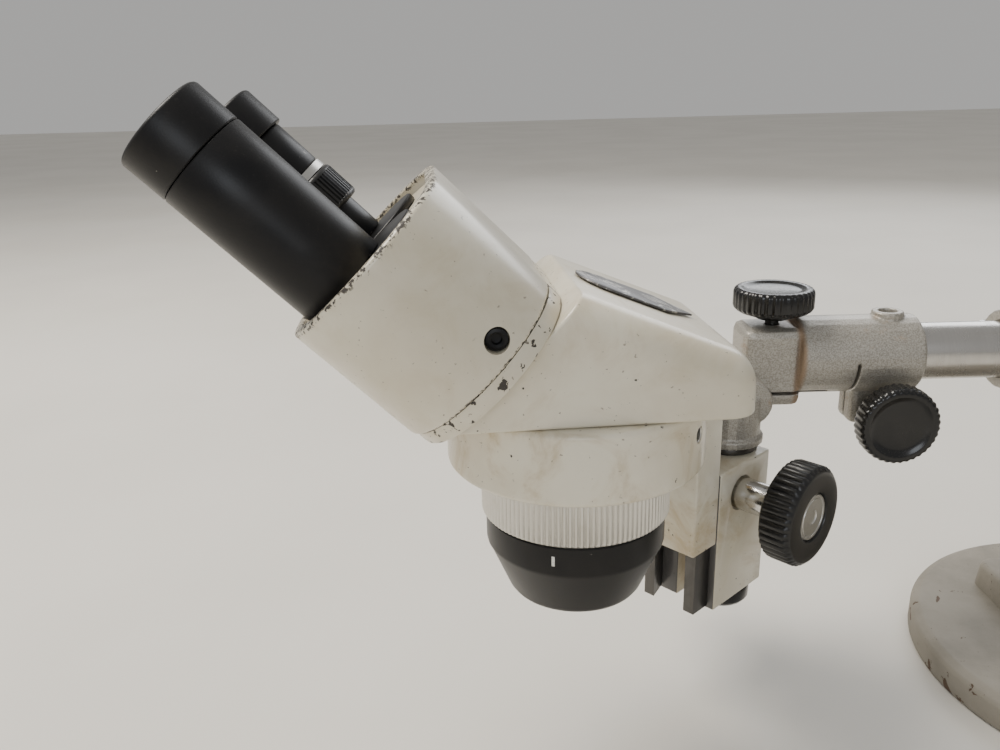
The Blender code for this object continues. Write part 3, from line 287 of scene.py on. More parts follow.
def delivered(piece, body, finish, slot, *nodes, angle=38):
    """A finished piece: shaded, painted, riding its body and standing for its CAD nodes."""
    only(piece)
    bpy.ops.object.shade_smooth_by_angle(angle=math.radians(angle))
    piece.data.materials.clear()
    piece.data.materials.append(finish)
    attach(piece, body)
    if nodes:
        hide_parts(*nodes)
    return piece


# ---- finishes -----------------------------------------------------------------------------

class Value:
    """A node's output that Python's own operators turn into shader maths."""

    def __init__(self, finish, socket):
        self.finish = finish
        self.socket = socket

    def maths(self, operation, first, second):
        return self.finish.node("ShaderNodeMath", {"operation": operation}, {0: first, 1: second})

    def __add__(self, other):
        return self.maths("ADD", self, other)

    def __sub__(self, other):
        return self.maths("SUBTRACT", self, other)

    def __rsub__(self, other):
        return self.maths("SUBTRACT", other, self)

    def __mul__(self, other):
        return self.maths("MULTIPLY", self, other)

    __radd__ = __add__
    __rmul__ = __mul__


class Finish:
    """A material with its Principled shader, and the few kinds of pattern used here."""

    def __init__(self, name, **constants):
        self.material = bpy.data.materials.new(name)
        self.material.use_nodes = True
        self.tree = self.material.node_tree
        self.shader = self.tree.nodes["Principled BSDF"]
        for socket, value in constants.items():
            self.shader.inputs[socket.replace("_", " ")].default_value = value
        self.place = self.node("ShaderNodeTexCoord", output="Object")

    def feed(self, socket, value):
        if isinstance(value, Value):
            self.tree.links.new(value.socket, socket)
        else:
            socket.default_value = value

    def node(self, kind, settings=None, inputs=None, output=0):
        """Any node: its settings first, then the values or links of its sockets."""
        node = self.tree.nodes.new(kind)
        for name, setting in (settings or {}).items():
            setattr(node, name, setting)
        for socket, value in (inputs or {}).items():
            self.feed(node.inputs[socket], value)
        return Value(self, node.outputs[output])

    def surface(self, **sockets):
        """Feeds the shader, and hands back the material."""
        for socket, value in sockets.items():
            self.feed(self.shader.inputs[socket.replace("_", " ")], value)
        return self.material

    def noise(self, scale, detail=3.0, roughness=0.5, stretch=None, distortion=0.0):
        place = self.place
        if stretch:
            place = self.node("ShaderNodeMapping", None, {"Vector": place, "Scale": stretch})
        return self.node("ShaderNodeTexNoise", None, {
            "Vector": place, "Scale": scale, "Detail": detail, "Roughness": roughness,
            "Distortion": distortion})

    def step(self, value, low, high):
        """0 below low and 1 above high, with a smooth change between."""
        return self.node("ShaderNodeMapRange", {"interpolation_type": "SMOOTHSTEP"},
                         {"Value": value, "From Min": low, "From Max": high})

    def mix(self, share, first, second):
        return self.node("ShaderNodeMix", {"data_type": "RGBA"}, {0: share, 6: first, 7: second}, 2)

    def larger(self, first, second):
        return self.node("ShaderNodeMath", {"operation": "MAXIMUM"}, {0: first, 1: second})

    def component(self, vector, axis):
        """One of the three numbers of a vector."""
        return self.node("ShaderNodeSeparateXYZ", None, {0: vector}, output=axis)

    def along(self, place, axis):
        """The distance along one axis of another frame."""
        back = place.inverted()
        moved = self.node("ShaderNodeMapping", None, {
            "Vector": self.place, "Location": back.to_translation(),
            "Rotation": back.to_euler("XYZ")})
        return self.component(moved, axis)

    def upward(self):
        """1 on faces that look up, 0 on walls, -1 on faces that look down."""
        return self.component(self.node("ShaderNodeTexCoord", output="Normal"), "Z")

    def edge(self, low, high):
        """1 along corners that stand out."""
        return self.step(self.node("ShaderNodeNewGeometry", output="Pointiness"), low, high)

    def bump(self, height, depth, strength=1.0):
        return self.node("ShaderNodeBump", None,
                         {"Strength": strength, "Distance": depth, "Height": height})


def rgb(red, green, blue):
    return (red, green, blue, 1.0)


def cream_paint(name, yellowing, chipping, rims=(), bare_side=None):
    """Old ivory enamel: cloudy, yellowed by handling, speckled, and chipped to dark metal.

    Each rim is (frame, axis, where it starts, where it is worst); a bare side is the same,
    and is dark metal from there on.
    """
    finish = Finish(name, IOR=1.5, Coat_Roughness=0.18)
    cloud = finish.noise(16, 5, 0.6)
    stain = finish.noise(38, 6, 0.65, distortion=0.8)
    fleck = finish.noise(260, 4, 0.6)
    nick = finish.noise(620, 4, 0.65)
    speck = finish.noise(560, 3)
    peel = finish.noise(1400, 2)
    worn = finish.edge(0.525, 0.59)
    chips = finish.step(fleck + worn * 0.13, 0.735 - chipping, 0.745 - chipping)
    for place, axis, start, worst in rims:
        near = finish.step(finish.along(place, axis), start, worst)
        nicked = finish.step(nick + fleck * 0.5 + near * 0.22, 0.97, 0.99) * near
        chips = finish.larger(chips, nicked)
    specks = finish.step(speck, 0.69, 0.72)
    grime = finish.step(stain, 0.47, 0.72) * yellowing
    colour = finish.mix(finish.step(cloud, 0.35, 0.68), rgb(0.60, 0.545, 0.42),
                        rgb(0.71, 0.665, 0.545))
    colour = finish.mix(grime, colour, rgb(0.42, 0.31, 0.15))
    colour = finish.mix(specks * 0.7, colour, rgb(0.20, 0.165, 0.12))
    colour = finish.mix(chips, colour, rgb(0.045, 0.038, 0.032))
    if bare_side:
        place, axis, start, full = bare_side
        metal = finish.step(finish.along(place, axis), start, full)
        colour = finish.mix(metal, colour, rgb(0.075, 0.07, 0.066))
    relief = peel * 0.10 + cloud * 0.25 - chips * 0.8
    return finish.surface(
        Base_Color=colour, Roughness=0.24 + fleck * 0.16 + chips * 0.3 + grime * 0.15,
        Coat_Weight=0.35 - chips * 0.35, Normal=finish.bump(relief, 0.00025, 0.55))


def base_paint():
    """Coarse warm grey paint over cast iron, with brown chips and bright worn corners."""
    finish = Finish("base_paint", IOR=1.5)
    cloud = finish.noise(22, 5, 0.6)
    patch = finish.noise(95, 5, 0.6, distortion=0.6)
    grit = finish.noise(900, 3, 0.6)
    fleck = finish.noise(420, 3)
    worn = finish.edge(0.525, 0.580)
    rim = 1 - finish.step(finish.component(finish.place, "Z"), 0.0128, 0.0150)
    chips = finish.step(patch + worn * 0.18 + rim * 0.075, 0.680, 0.692)
    bare = finish.step(patch + worn * 0.24, 0.83, 0.85)
    specks = finish.step(fleck, 0.70, 0.73)
    colour = finish.mix(finish.step(cloud, 0.3, 0.7), rgb(0.185, 0.168, 0.135),
                        rgb(0.27, 0.247, 0.205))
    colour = finish.mix(specks * 0.5, colour, rgb(0.13, 0.10, 0.07))
    colour = finish.mix(chips, colour, rgb(0.085, 0.05, 0.028))
    colour = finish.mix(bare, colour, rgb(0.55, 0.53, 0.50))
    relief = grit * 0.35 + cloud * 0.4 - chips * 0.9
    return finish.surface(
        Base_Color=colour, Metallic=bare * 0.9, Roughness=0.58 + grit * 0.15 - bare * 0.25,
        Normal=finish.bump(relief, 0.0005, 0.6))


def cast_silver(name, stain_at=None):
    """Sandy hammered silver lacquer with a warm tint, rust-brown in places, bright at corners.

    A stain runs down the metal at that distance along X.
    """
    finish = Finish(name, IOR=1.5, Coat_Roughness=0.25)
    cells = finish.node("ShaderNodeTexVoronoi", {"feature": "SMOOTH_F1"},
                        {"Vector": finish.place, "Scale": 620, "Smoothness": 0.8})
    sand = finish.noise(1500, 3, 0.6)
    cloud = finish.noise(55, 5, 0.6, distortion=0.5)
    worn = finish.edge(0.515, 0.56)
    rust = finish.step(cloud, 0.60, 0.74)
    if stain_at:
        drift = finish.component(finish.place, "X") + cloud * 0.004
        band = finish.step(drift, stain_at, stain_at + 0.003) * (
            1 - finish.step(drift, stain_at + 0.0035, stain_at + 0.006))
        rust = finish.larger(rust, band * 1.3)
    bright = finish.step(worn + cloud * 0.5, 0.85, 1.05)
    colour = finish.mix(finish.step(sand, 0.3, 0.7), rgb(0.27, 0.25, 0.215),
                        rgb(0.47, 0.445, 0.395))
    colour = finish.mix(rust * 0.55, colour, rgb(0.26, 0.155, 0.075))
    colour = finish.mix(bright, colour, rgb(0.68, 0.66, 0.62))
    relief = cells * 0.8 + sand * 0.5
    return finish.surface(
        Base_Color=colour, Metallic=0.55 + bright * 0.4 - rust * 0.3,
        Roughness=0.40 + sand * 0.16 + rust * 0.2 - bright * 0.15,
        Coat_Weight=0.25 - rust * 0.2, Normal=finish.bump(relief, 0.00018, 0.6))


def machined(name, colour, roughness, stretch, tarnish):
    """Bright machined metal: fine tool marks across the stretched direction, and dull blotches."""
    finish = Finish(name)
    marks = finish.noise(1, 4, 0.7, stretch=stretch)
    cloud = finish.noise(60, 5, 0.6, distortion=0.4)
    scratch = finish.noise(340, 2, 0.4, distortion=2.5)
    dull = finish.step(cloud, 0.45, 0.75) * tarnish
    dark = tuple(channel * 0.35 for channel in colour[:3]) + (1.0,)
    shade = finish.mix(marks * 0.35 + dull, colour, dark)
    return finish.surface(
        Base_Color=shade, Metallic=1.0 - dull * 0.4,
        Roughness=roughness + marks * 0.14 + dull * 0.35,
        Normal=finish.bump(marks + scratch * 0.3, 0.00006, 0.5))


def knurled_aluminium():
    """Satin aluminium with brown dirt left down in its grooves, and smears."""
    finish = Finish("knurled_aluminium")
    groove = 1 - finish.edge(0.455, 0.500)
    cloud = finish.noise(90, 5, 0.6)
    grit = finish.noise(800, 3)
    dirt = groove * finish.step(cloud + grit * 0.4, 0.35, 0.75)
    smear = finish.step(cloud, 0.55, 0.75) * 0.35
    colour = finish.mix(smear, rgb(0.66, 0.64, 0.59), rgb(0.42, 0.38, 0.30))
    colour = finish.mix(dirt * 0.85, colour, rgb(0.12, 0.095, 0.06))
    return finish.surface(
        Base_Color=colour, Metallic=0.92 - dirt * 0.7, Roughness=0.30 + grit * 0.16 + dirt * 0.4,
        Normal=finish.bump(grit, 0.00005, 0.6))


def black_plastic(name, gloss, dusting):
    """Black moulded plastic: near-mirror where clean, hazed by fingers, dusty where it looks up."""
    finish = Finish(name, IOR=1.5, Coat_Roughness=0.12, Specular_IOR_Level=0.38)
    haze = finish.noise(70, 5, 0.6, distortion=0.6)
    dust = finish.noise(1300, 3, 0.7)
    lint = finish.noise(300, 5, 0.7, distortion=1.5)
    settled = finish.step(finish.upward(), -0.2, 0.95) * dusting
    grains = finish.step(dust, 0.56, 0.70) * settled
    fluff = finish.step(lint, 0.66, 0.70) * settled
    colour = finish.mix(finish.step(haze, 0.4, 0.75), rgb(0.005, 0.005, 0.0055),
                        rgb(0.012, 0.011, 0.010))
    colour = finish.mix(grains * 0.12 + fluff * 0.10, colour, rgb(0.24, 0.215, 0.17))
    return finish.surface(
        Base_Color=colour, Roughness=gloss + haze * 0.16 + grains * 0.35,
        Coat_Weight=0.22 - grains * 0.2, Normal=finish.bump(dust * 0.4 + haze, 0.00006, 0.4))


def black_enamel():
    """Satin black enamel with a fine texture, a few dust specks, rubbed at its corners."""
    finish = Finish("black_enamel", IOR=1.45, Specular_IOR_Level=0.32)
    texture = finish.noise(1700, 2)
    haze = finish.noise(45, 5, 0.6, distortion=0.5)
    fleck = finish.noise(380, 4, 0.6)
    rubbed = finish.step(fleck + finish.edge(0.52, 0.60) * 0.22, 0.80, 0.83)
    dust = finish.step(finish.noise(1000, 4, 0.7), 0.60, 0.76) * finish.step(
        finish.upward(), 0.1, 0.95)
    colour = finish.mix(finish.step(haze, 0.35, 0.75), rgb(0.0045, 0.0045, 0.0055),
                        rgb(0.011, 0.010, 0.0095))
    colour = finish.mix(dust * 0.12, colour, rgb(0.26, 0.235, 0.19))
    colour = finish.mix(rubbed, colour, rgb(0.17, 0.16, 0.145))
    return finish.surface(
        Base_Color=colour, Metallic=rubbed * 0.8, Roughness=0.29 + haze * 0.18 + dust * 0.2,
        Normal=finish.bump(texture * 0.6 + haze * 0.5, 0.00008, 0.5))


def coated_glass():
    """A coated lens: dark, with a faint violet bloom and a little dust."""
    finish = Finish("coated_glass", IOR=1.6, Coat_Roughness=0.02, Coat_Weight=1.0)
    bloom = finish.noise(60, 2)
    dust = finish.step(finish.noise(1800, 2), 0.66, 0.72)
    colour = finish.mix(finish.step(bloom, 0.3, 0.7), rgb(0.012, 0.018, 0.04),
                        rgb(0.035, 0.014, 0.05))
    colour = finish.mix(dust * 0.2, colour, rgb(0.35, 0.33, 0.30))
    return finish.surface(Base_Color=colour, Roughness=0.04 + dust * 0.4)


def plate_metal():
    """The blank badge: a dark field of brushed lines with scuffs through to the silver."""
    finish = Finish("badge_plate")
    lines = finish.noise(1, 3, 0.6, stretch=(30, 2600, 30))
    scuff = finish.step(finish.noise(130, 6, 0.75, distortion=1.2), 0.52, 0.60)
    colour = finish.mix(lines * 0.5, rgb(0.075, 0.072, 0.075), rgb(0.16, 0.155, 0.15))
    colour = finish.mix(scuff * 0.8, colour, rgb(0.50, 0.48, 0.44))
    return finish.surface(Base_Color=colour, Metallic=0.6 + scuff * 0.3,
                          Roughness=0.32 + lines * 0.18 - scuff * 0.05,
                          Normal=finish.bump(lines, 0.00005, 0.6))


def index_white():
    finish = Finish("index_white")
    wear = finish.noise(1800, 3)
    colour = finish.mix(finish.step(wear, 0.45, 0.75), rgb(0.80, 0.79, 0.75),
                        rgb(0.45, 0.43, 0.39))
    return finish.surface(Base_Color=colour, Roughness=0.45 + wear * 0.2)


def pale_floor():
    finish = Finish("pale_floor")
    cloud = finish.noise(3, 4)
    grain = finish.noise(160, 3)
    colour = finish.mix(finish.step(cloud, 0.3, 0.7), rgb(0.68, 0.65, 0.59),
                        rgb(0.73, 0.70, 0.64))
    return finish.surface(Base_Color=colour, Roughness=0.55 + grain * 0.1)


head_rear = local_box("prism_housing", HEAD)[0].z
block_front = local_box("focus_block", FOCUS)[0].x
CREAM = cream_paint("cream_paint", 0.30, 0.0)
CREAM_HEAD = cream_paint("cream_paint_head", 0.25, 0.0, rims=(
    (HEAD, "Z", -0.0034, -0.0006), (HEAD @ Matrix.Rotation(math.pi, 4, "X"), "Z",
                                    -head_rear - 0.0016, -head_rear - 0.0002)))
CREAM_RING = cream_paint("cream_paint_ring", 0.70, 0.01)
CREAM_BLOCK = cream_paint("cream_paint_block", 0.55, 0.0, bare_side=(
    FOCUS @ Matrix.Rotation(math.pi, 4, "Z"), "X", -block_front - 0.0004, -block_front - 0.0002))
BASE_PAINT = base_paint()
CAST = cast_silver("cast_silver")
CAST_STAINED = cast_silver("cast_silver_stained", -0.1745)
STEEL_X = machined("steel_along_x", rgb(0.62, 0.60, 0.57), 0.17, (900, 14, 14), 0.18)
STEEL_Z = machined("steel_along_z", rgb(0.62, 0.60, 0.57), 0.17, (14, 14, 900), 0.18)
CHROME = machined("chrome", rgb(0.72, 0.71, 0.69), 0.10, (500, 500, 500), 0.10)
DARK_STEEL = machined("dark_steel", rgb(0.13, 0.125, 0.12), 0.32, (500, 500, 40), 0.30)
BRASS = machined("brass", rgb(0.60, 0.42, 0.16), 0.25, (40, 40, 700), 0.30)
SATIN = machined("satin_aluminium", rgb(0.64, 0.63, 0.60), 0.26, (420, 420, 420), 0.22)
KNURLED = knurled_aluminium()
KNOB = black_plastic("knob_plastic", 0.16, 1.0)
KNOB_MATT = black_plastic("knob_plastic_matt", 0.30, 0.7)
BLACK = black_enamel()
GLASS = coated_glass()
PLATE = plate_metal()
WHITE = index_white()


# ---- stand --------------------------------------------------------------------------------

def stand_base():
    """The round foot, its square plinth and the boss that holds the post."""
    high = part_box("base_casting")[1]
    rim = high.x
    post_low, post_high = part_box("post")
    post_radius = post_high.x + GAP
    foot = turned("stand_base", [
        (rim - 0.0012, 0), (rim, 0.0012), (rim, BASE_THICKNESS - 0.0042),
        (rim - 0.0010, BASE_THICKNESS - 0.0022), (rim - 0.0046, BASE_THICKNESS)], 180)
    rounded(foot, 0.0007, 2, 20)
    buried = BASE_THICKNESS - 0.010
    plinth = box("plinth", (-PLINTH_HALF_LENGTH, -PLINTH_HALF_WIDTH, buried),
                 (PLINTH_HALF_LENGTH, PLINTH_HALF_WIDTH, PLINTH_TOP))
    bpy.ops.object.mode_set(mode="EDIT")
    pick(lambda at, along: abs(along.z) > 0.9, "EDGE")
    bpy.ops.mesh.bevel(offset=0.009, segments=8, affect="EDGES")
    pick(lambda at, normal: normal.z > 0.9, "FACE")
    bpy.ops.transform.resize(value=(0.965, 0.97, 1), center_override=(0, 0, PLINTH_TOP))
    bpy.ops.mesh.bevel(offset=0.0028, segments=3, affect="EDGES")
    bpy.ops.object.mode_set(mode="OBJECT")
    boss = turned("post_boss", [
        (0.0375, PLINTH_TOP - 0.004), (0.0368, PLINTH_TOP + 0.0006), (0.0325, PLINTH_TOP + 0.0022),
        (0.0275, PLINTH_TOP + 0.0052), (0.0242, PLINTH_TOP + 0.0088),
        (0.0228, PLINTH_TOP + 0.0125), (0.0210, high.z - 0.0022), (0.0203, high.z - 0.0006),
        (0.0190, high.z)], 96)
    union(foot, plinth, boss)
    cut(foot, rod("post_socket", post_radius, post_low.z - GAP, high.z + 0.01),
        rod("post_screw_hole", POST_SCREW_HOLE, post_radius - 0.002, 0.04,
            aim((0, 0, high.z - 0.008), (0, -1, 0)), 24))
    delivered(foot, "stand", BASE_PAINT, "base_paint", "base_casting")


def boom_castings():
    """The hand-finished castings on the post and at the boom's end."""
    for name, node, body, finish, grain, passes in (
            ("clamp_casting", "cross_clamp", "cross_clamp", CAST, 0.0007, 3),
            ("bracket_casting", "boom_bracket", "bracket", CAST_STAINED, 0.0005, 3),
            ("hanger_body", "hanger_casting", "hanger", CAST, 0.0005, 3)):
        delivered(cast_copy(name, node, grain, passes), body, finish, "cast_silver", node, angle=60)


# ---- knobs --------------------------------------------------------------------------------

SCALLOP = (1.0, 0.74, 0.27, 0, 0.27, 0.74)
NARROW_FLUTE = (1.0, 0.45, 0.08, 0, 0.08, 0.45)


def clamp_knob(node):
    """A black hand knob: tapered underside, scalloped side, shallow dish in its top."""
    place = on_joint(node + "_turn")
    low, high = local_box(node, place)
    radius, top = high.x, high.z
    foot = top - CLAMP_KNOB_HEIGHT
    stem = 0.0032
    knob = turned(node + "_head", [
        (stem, low.z), (stem, foot), (radius * 0.42, foot), (radius * 0.44, foot + 0.0006),
        (radius * 0.86, foot + 0.0033), (radius - 0.0012, foot + 0.0042),
        (radius - 0.0002, foot + 0.0054), (radius, foot + 0.0062), (radius, top - 0.0022),
        (radius - 0.0004, top - 0.0011), (radius - 0.0012, top - 0.0003), (radius - 0.0022, top),
        (radius * 0.80, top - 0.0001), (radius * 0.77, top - 0.0003), (radius * 0.73, top - 0.0010),
        (radius * 0.60, top - 0.0015), (radius * 0.30, top - 0.0018), (0.0006, top - 0.0019)],
        CLAMP_FLUTES * len(SCALLOP))
    fluted(knob, CLAMP_FLUTES, 0.00055, foot + 0.0040, top - 0.0002, radius * 0.9, SCALLOP)
    placed(knob, place)
    delivered(knob, node, KNOB, "black_knob", node)


def focus_knob(side, sign):
    """A wide fluted knob with a plain chamfered front ring and a recessed bright disc."""
    joint = joints["focus_knob_turn"]
    place = aim(joint["pos_m"], -sign * Vector(joint["axis"]))
    node, disc = "focus_knob_" + side, "knob_disc_" + side
    low, high = local_box(node, place)
    radius, top = high.x, high.z
    foot = low.z
    disc_radius = local_box(disc, place)[1].x
    rim = disc_radius + GAP
    well = top - 0.0070
    knob = turned(node + "_rim", [
        (FOCUS_SHAFT_BORE, foot), (radius * 0.60, foot), (radius * 0.72, foot + 0.0004),
        (radius - 0.0020, foot + 0.0029), (radius - 0.0004, foot + 0.0038),
        (radius, foot + 0.0050), (radius, top - 0.0026), (radius - 0.0003, top - 0.0020),
        (radius - 0.0019, top - 0.0005), (radius - 0.0024, top - 0.0002),
        (radius - 0.0030, top - 0.0001), (radius - 0.0046, top - 0.0001),
        (rim + 0.0012, top - 0.0001), (rim + 0.0004, top - 0.0003), (rim, top - 0.0009),
        (rim, well), (FOCUS_SHAFT_BORE, well), (FOCUS_SHAFT_BORE, foot)],
        FOCUS_FLUTES * len(NARROW_FLUTE))
    fluted(knob, FOCUS_FLUTES, 0.0009, foot + 0.0034, top - 0.0010, radius * 0.93, NARROW_FLUTE)
    placed(knob, place)
    delivered(knob, "pinion", KNOB_MATT, "black_knob", node)
    face = turned(disc + "_face", [
        (disc_radius - 0.0004, top - 0.0066), (disc_radius - 0.0001, top - 0.0014),
        (disc_radius - 0.0006, top - 0.0009), (disc_radius * 0.86, top - 0.0009),
        (disc_radius * 0.84, top - 0.0012), (disc_radius * 0.80, top - 0.0012),
        (disc_radius * 0.78, top - 0.0009), (disc_radius * 0.30, top - 0.0008),
        (disc_radius * 0.26, top - 0.0013), (0.0005, top - 0.0015)], 72)
    placed(face, place)
    delivered(face, "pinion", SATIN, "aluminium", disc)


# ---- focus mount and ring -----------------------------------------------------------------

def ring_and_bracket():
    """The big ring that the pod turns in, and the channel-shaped bracket that carries it."""
    low, high = local_box("ring_holder", RING)
    radius, top = -low.x, high.z
    seat = RING_SEAT_RADIUS
    base = top - RING_HEIGHT
    ring = turned("pod_ring", [
        (seat + GAP, top), (radius - 0.0016, top), (radius - 0.0007, top - 0.0003),
        (radius - 0.0001, top - 0.0012), (radius, top - 0.0020), (radius, base + 0.0022),
        (radius - 0.0002, base + 0.0012), (radius - 0.0009, base + 0.0003),
        (radius - 0.0020, base), (seat - 0.003, base), (seat - 0.003, base + 0.003),
        (seat + GAP, base + 0.003), (seat + GAP, top)], 160)
    placed(ring, RING)
    hole_turn = math.radians(LOCK_HOLE_TURN)
    hole_place = aim((optical_axis.x, optical_axis.y, base + LOCK_HOLE_RISE),
                     (math.cos(hole_turn), math.sin(hole_turn), 0))
    cut(ring, rod("lock_hole", LOCK_HOLE_RADIUS, seat - 0.004, radius + 0.01, hole_place, 32))
    delivered(ring, "carriage", CREAM_RING, "cream_paint", "ring_holder")
    bush = turned("lock_bush", [
        (0.0031, radius - 0.0034), (0.0031, radius - 0.0004), (0.0028, radius - 0.0002),
        (0.0024, radius - 0.0006), (0.0023, radius - 0.0034), (0.0031, radius - 0.0034)], 36)
    placed(bush, hole_place)
    delivered(bush, "carriage", SATIN, "aluminium")

    cheek, plate = 0.003, 0.004
    rail_low, rail_high = local_box("rail_right", FOCUS)
    half = -rail_low.y + GAP + cheek
    front = local_box("focus_slide", FOCUS)[0].x - GAP - plate
    bottom = local_box("ring_holder", FOCUS)[0].z
    ring_centre = (FOCUS.inverted() @ optical_axis).x
    bracket = box("ring_bracket", (front, -half, bottom), (rail_high.x - GAP, half, top - 0.0002))
    rounded(bracket, 0.0012, 3)
    channel = box("channel", (front + plate, -half + cheek, bottom - 0.01),
                  (rail_high.x + 0.01, half - cheek, top + 0.01))
    neck = box("neck", (ring_centre + seat + 0.003, -half, base + 0.0002),
               (front + 0.002, half, top - 0.0006))
    cut(bracket, channel)
    rounded(neck, 0.0010, 2)
    union(bracket, neck)
    cut(bracket, rod("dowel_hole", 0.0016, -0.01, 0.006,
                     aim((front, -0.001, bottom + 0.022), (1, 0, 0)), 20))
    placed(bracket, FOCUS)
    cut(bracket, rod("ring_room", radius - 0.0015, bottom, top + 0.01,
                     Matrix.Translation((optical_axis.x, optical_axis.y, 0)), 160))
    delivered(bracket, "carriage", CREAM_RING, "cream_paint")


# ---- pod ----------------------------------------------------------------------------------

def shell():
    """The pod's upper cover: a block cut by the head's plane and by its sloping top."""
    low, high = local_box("pod_shell", POD)
    flange_low = local_box("head_flange", HEAD)[0]
    face_back = flange_low.z - GAP
    to_pod = POD.inverted() @ HEAD
    plane_point = to_pod @ Vector((0, 0, face_back))
    plane_normal = to_pod.to_3x3() @ Vector((0, 0, 1))
    rear_top = low.z + SHELL_REAR_RISE - GAP
    crown = plane_point.z + SHELL_CROWN_RISE
    crown_x = plane_point.x + SHELL_CROWN_RISE * plane_normal.z / -plane_normal.x
    fall = (crown - rear_top) / (high.x - 0.008 - crown_x)
    cover = box("pod_cover", (low.x - 0.03, low.y, low.z), (high.x, high.y, crown + 0.02))
    bpy.ops.object.mode_set(mode="EDIT")
    for point, normal in ((plane_point, plane_normal),
                          (Vector((crown_x, 0, crown)), Vector((fall, 0, 1)).normalized())):
        bpy.ops.mesh.select_all(action="SELECT")
        bpy.ops.mesh.bisect(plane_co=point, plane_no=normal, use_fill=True, clear_outer=True)
    pick(lambda at, along: at.z > low.z + 0.002 and (at.x > crown_x - 0.001 or abs(along.y) < 0.5)
         and abs((at - plane_point).dot(plane_normal)) >= 0.0006, "EDGE")
    bpy.ops.mesh.bevel(offset=SHELL_ROUNDING, segments=7, affect="EDGES")
    bpy.ops.object.mode_set(mode="OBJECT")
    rounded(cover, 0.0012, 3, 35)
    placed(cover, POD)
    delivered(cover, "pod", CREAM, "cream_paint", "pod_shell")


def head():
    """The slanted prism housing, its rear flange and its two screws' pockets."""
    low, high = local_box("prism_housing", HEAD)
    half = high.x
    rear = low.z
    inner = half - RECESS_MARGIN
    housing = turned("head_housing", [
        (inner - 0.0003, -RECESS_DEPTH), (inner, -RECESS_DEPTH + 0.0004), (inner, -0.0006),
        (inner + 0.0004, -0.0001), (inner + 0.0010, 0), (half - 0.0014, 0),
        (half - 0.0006, -0.0003), (half - 0.0001, -0.0010), (half, -0.0018),
        (half, rear + 0.0016), (half - 0.0002, rear + 0.0008), (half - 0.0010, rear)],
        128, turret_spread)
    rise, behind, pocket = 0.0134, 0.0455, 0.0042
    side_wall = turret_spread + math.sqrt(half ** 2 - rise ** 2)
    placed(housing, HEAD)
    side_place = HEAD @ aim((rise, 0, -behind), (0, -1, 0))
    base_aside, base_behind = 0.018, 0.044
    base_place = HEAD @ aim((0, -base_aside, -base_behind), (-1, 0, 0))
    cut(housing, rod("side_pocket", pocket, side_wall - 0.006, side_wall + 0.006, side_place, 32),
        rod("base_pocket", pocket, half - 0.006, half + 0.006, base_place, 32))
    delivered(housing, "pod", CREAM_HEAD, "cream_paint", "prism_housing")
    for name, place, wall in (("housing_side_screw", side_place, side_wall),
                              ("housing_base_screw", base_place, half)):
        screw = turned(name + "_head", [
            (0.0038, wall - 0.0052), (0.0038, wall - 0.0020), (0.0035, wall - 0.0015),
            (0.0026, wall - 0.0013), (0.0018, wall - 0.0018), (0.0017, wall - 0.0040),
            (0.0004, wall - 0.0042)], 36)
        placed(screw, place)
        delivered(screw, "pod", BLACK, "dark_steel", name)
    flange_low, flange_high = local_box("head_flange", HEAD)
    reach = (flange_high.x - flange_low.x) / 2
    middle = (flange_high.x + flange_low.x) / 2
    across = flange_high.y - reach
    flange = turned("head_collar", [
        (reach * 0.5, flange_low.z), (reach - 0.0006, flange_low.z),
        (reach, flange_low.z + 0.0008), (reach, flange_high.z), (reach * 0.5, flange_high.z),
        (reach * 0.5, flange_low.z)], 128, across)
    placed(flange, HEAD @ Matrix.Translation((middle, 0, 0)))
    delivered(flange, "pod", CREAM, "cream_paint", "head_flange")


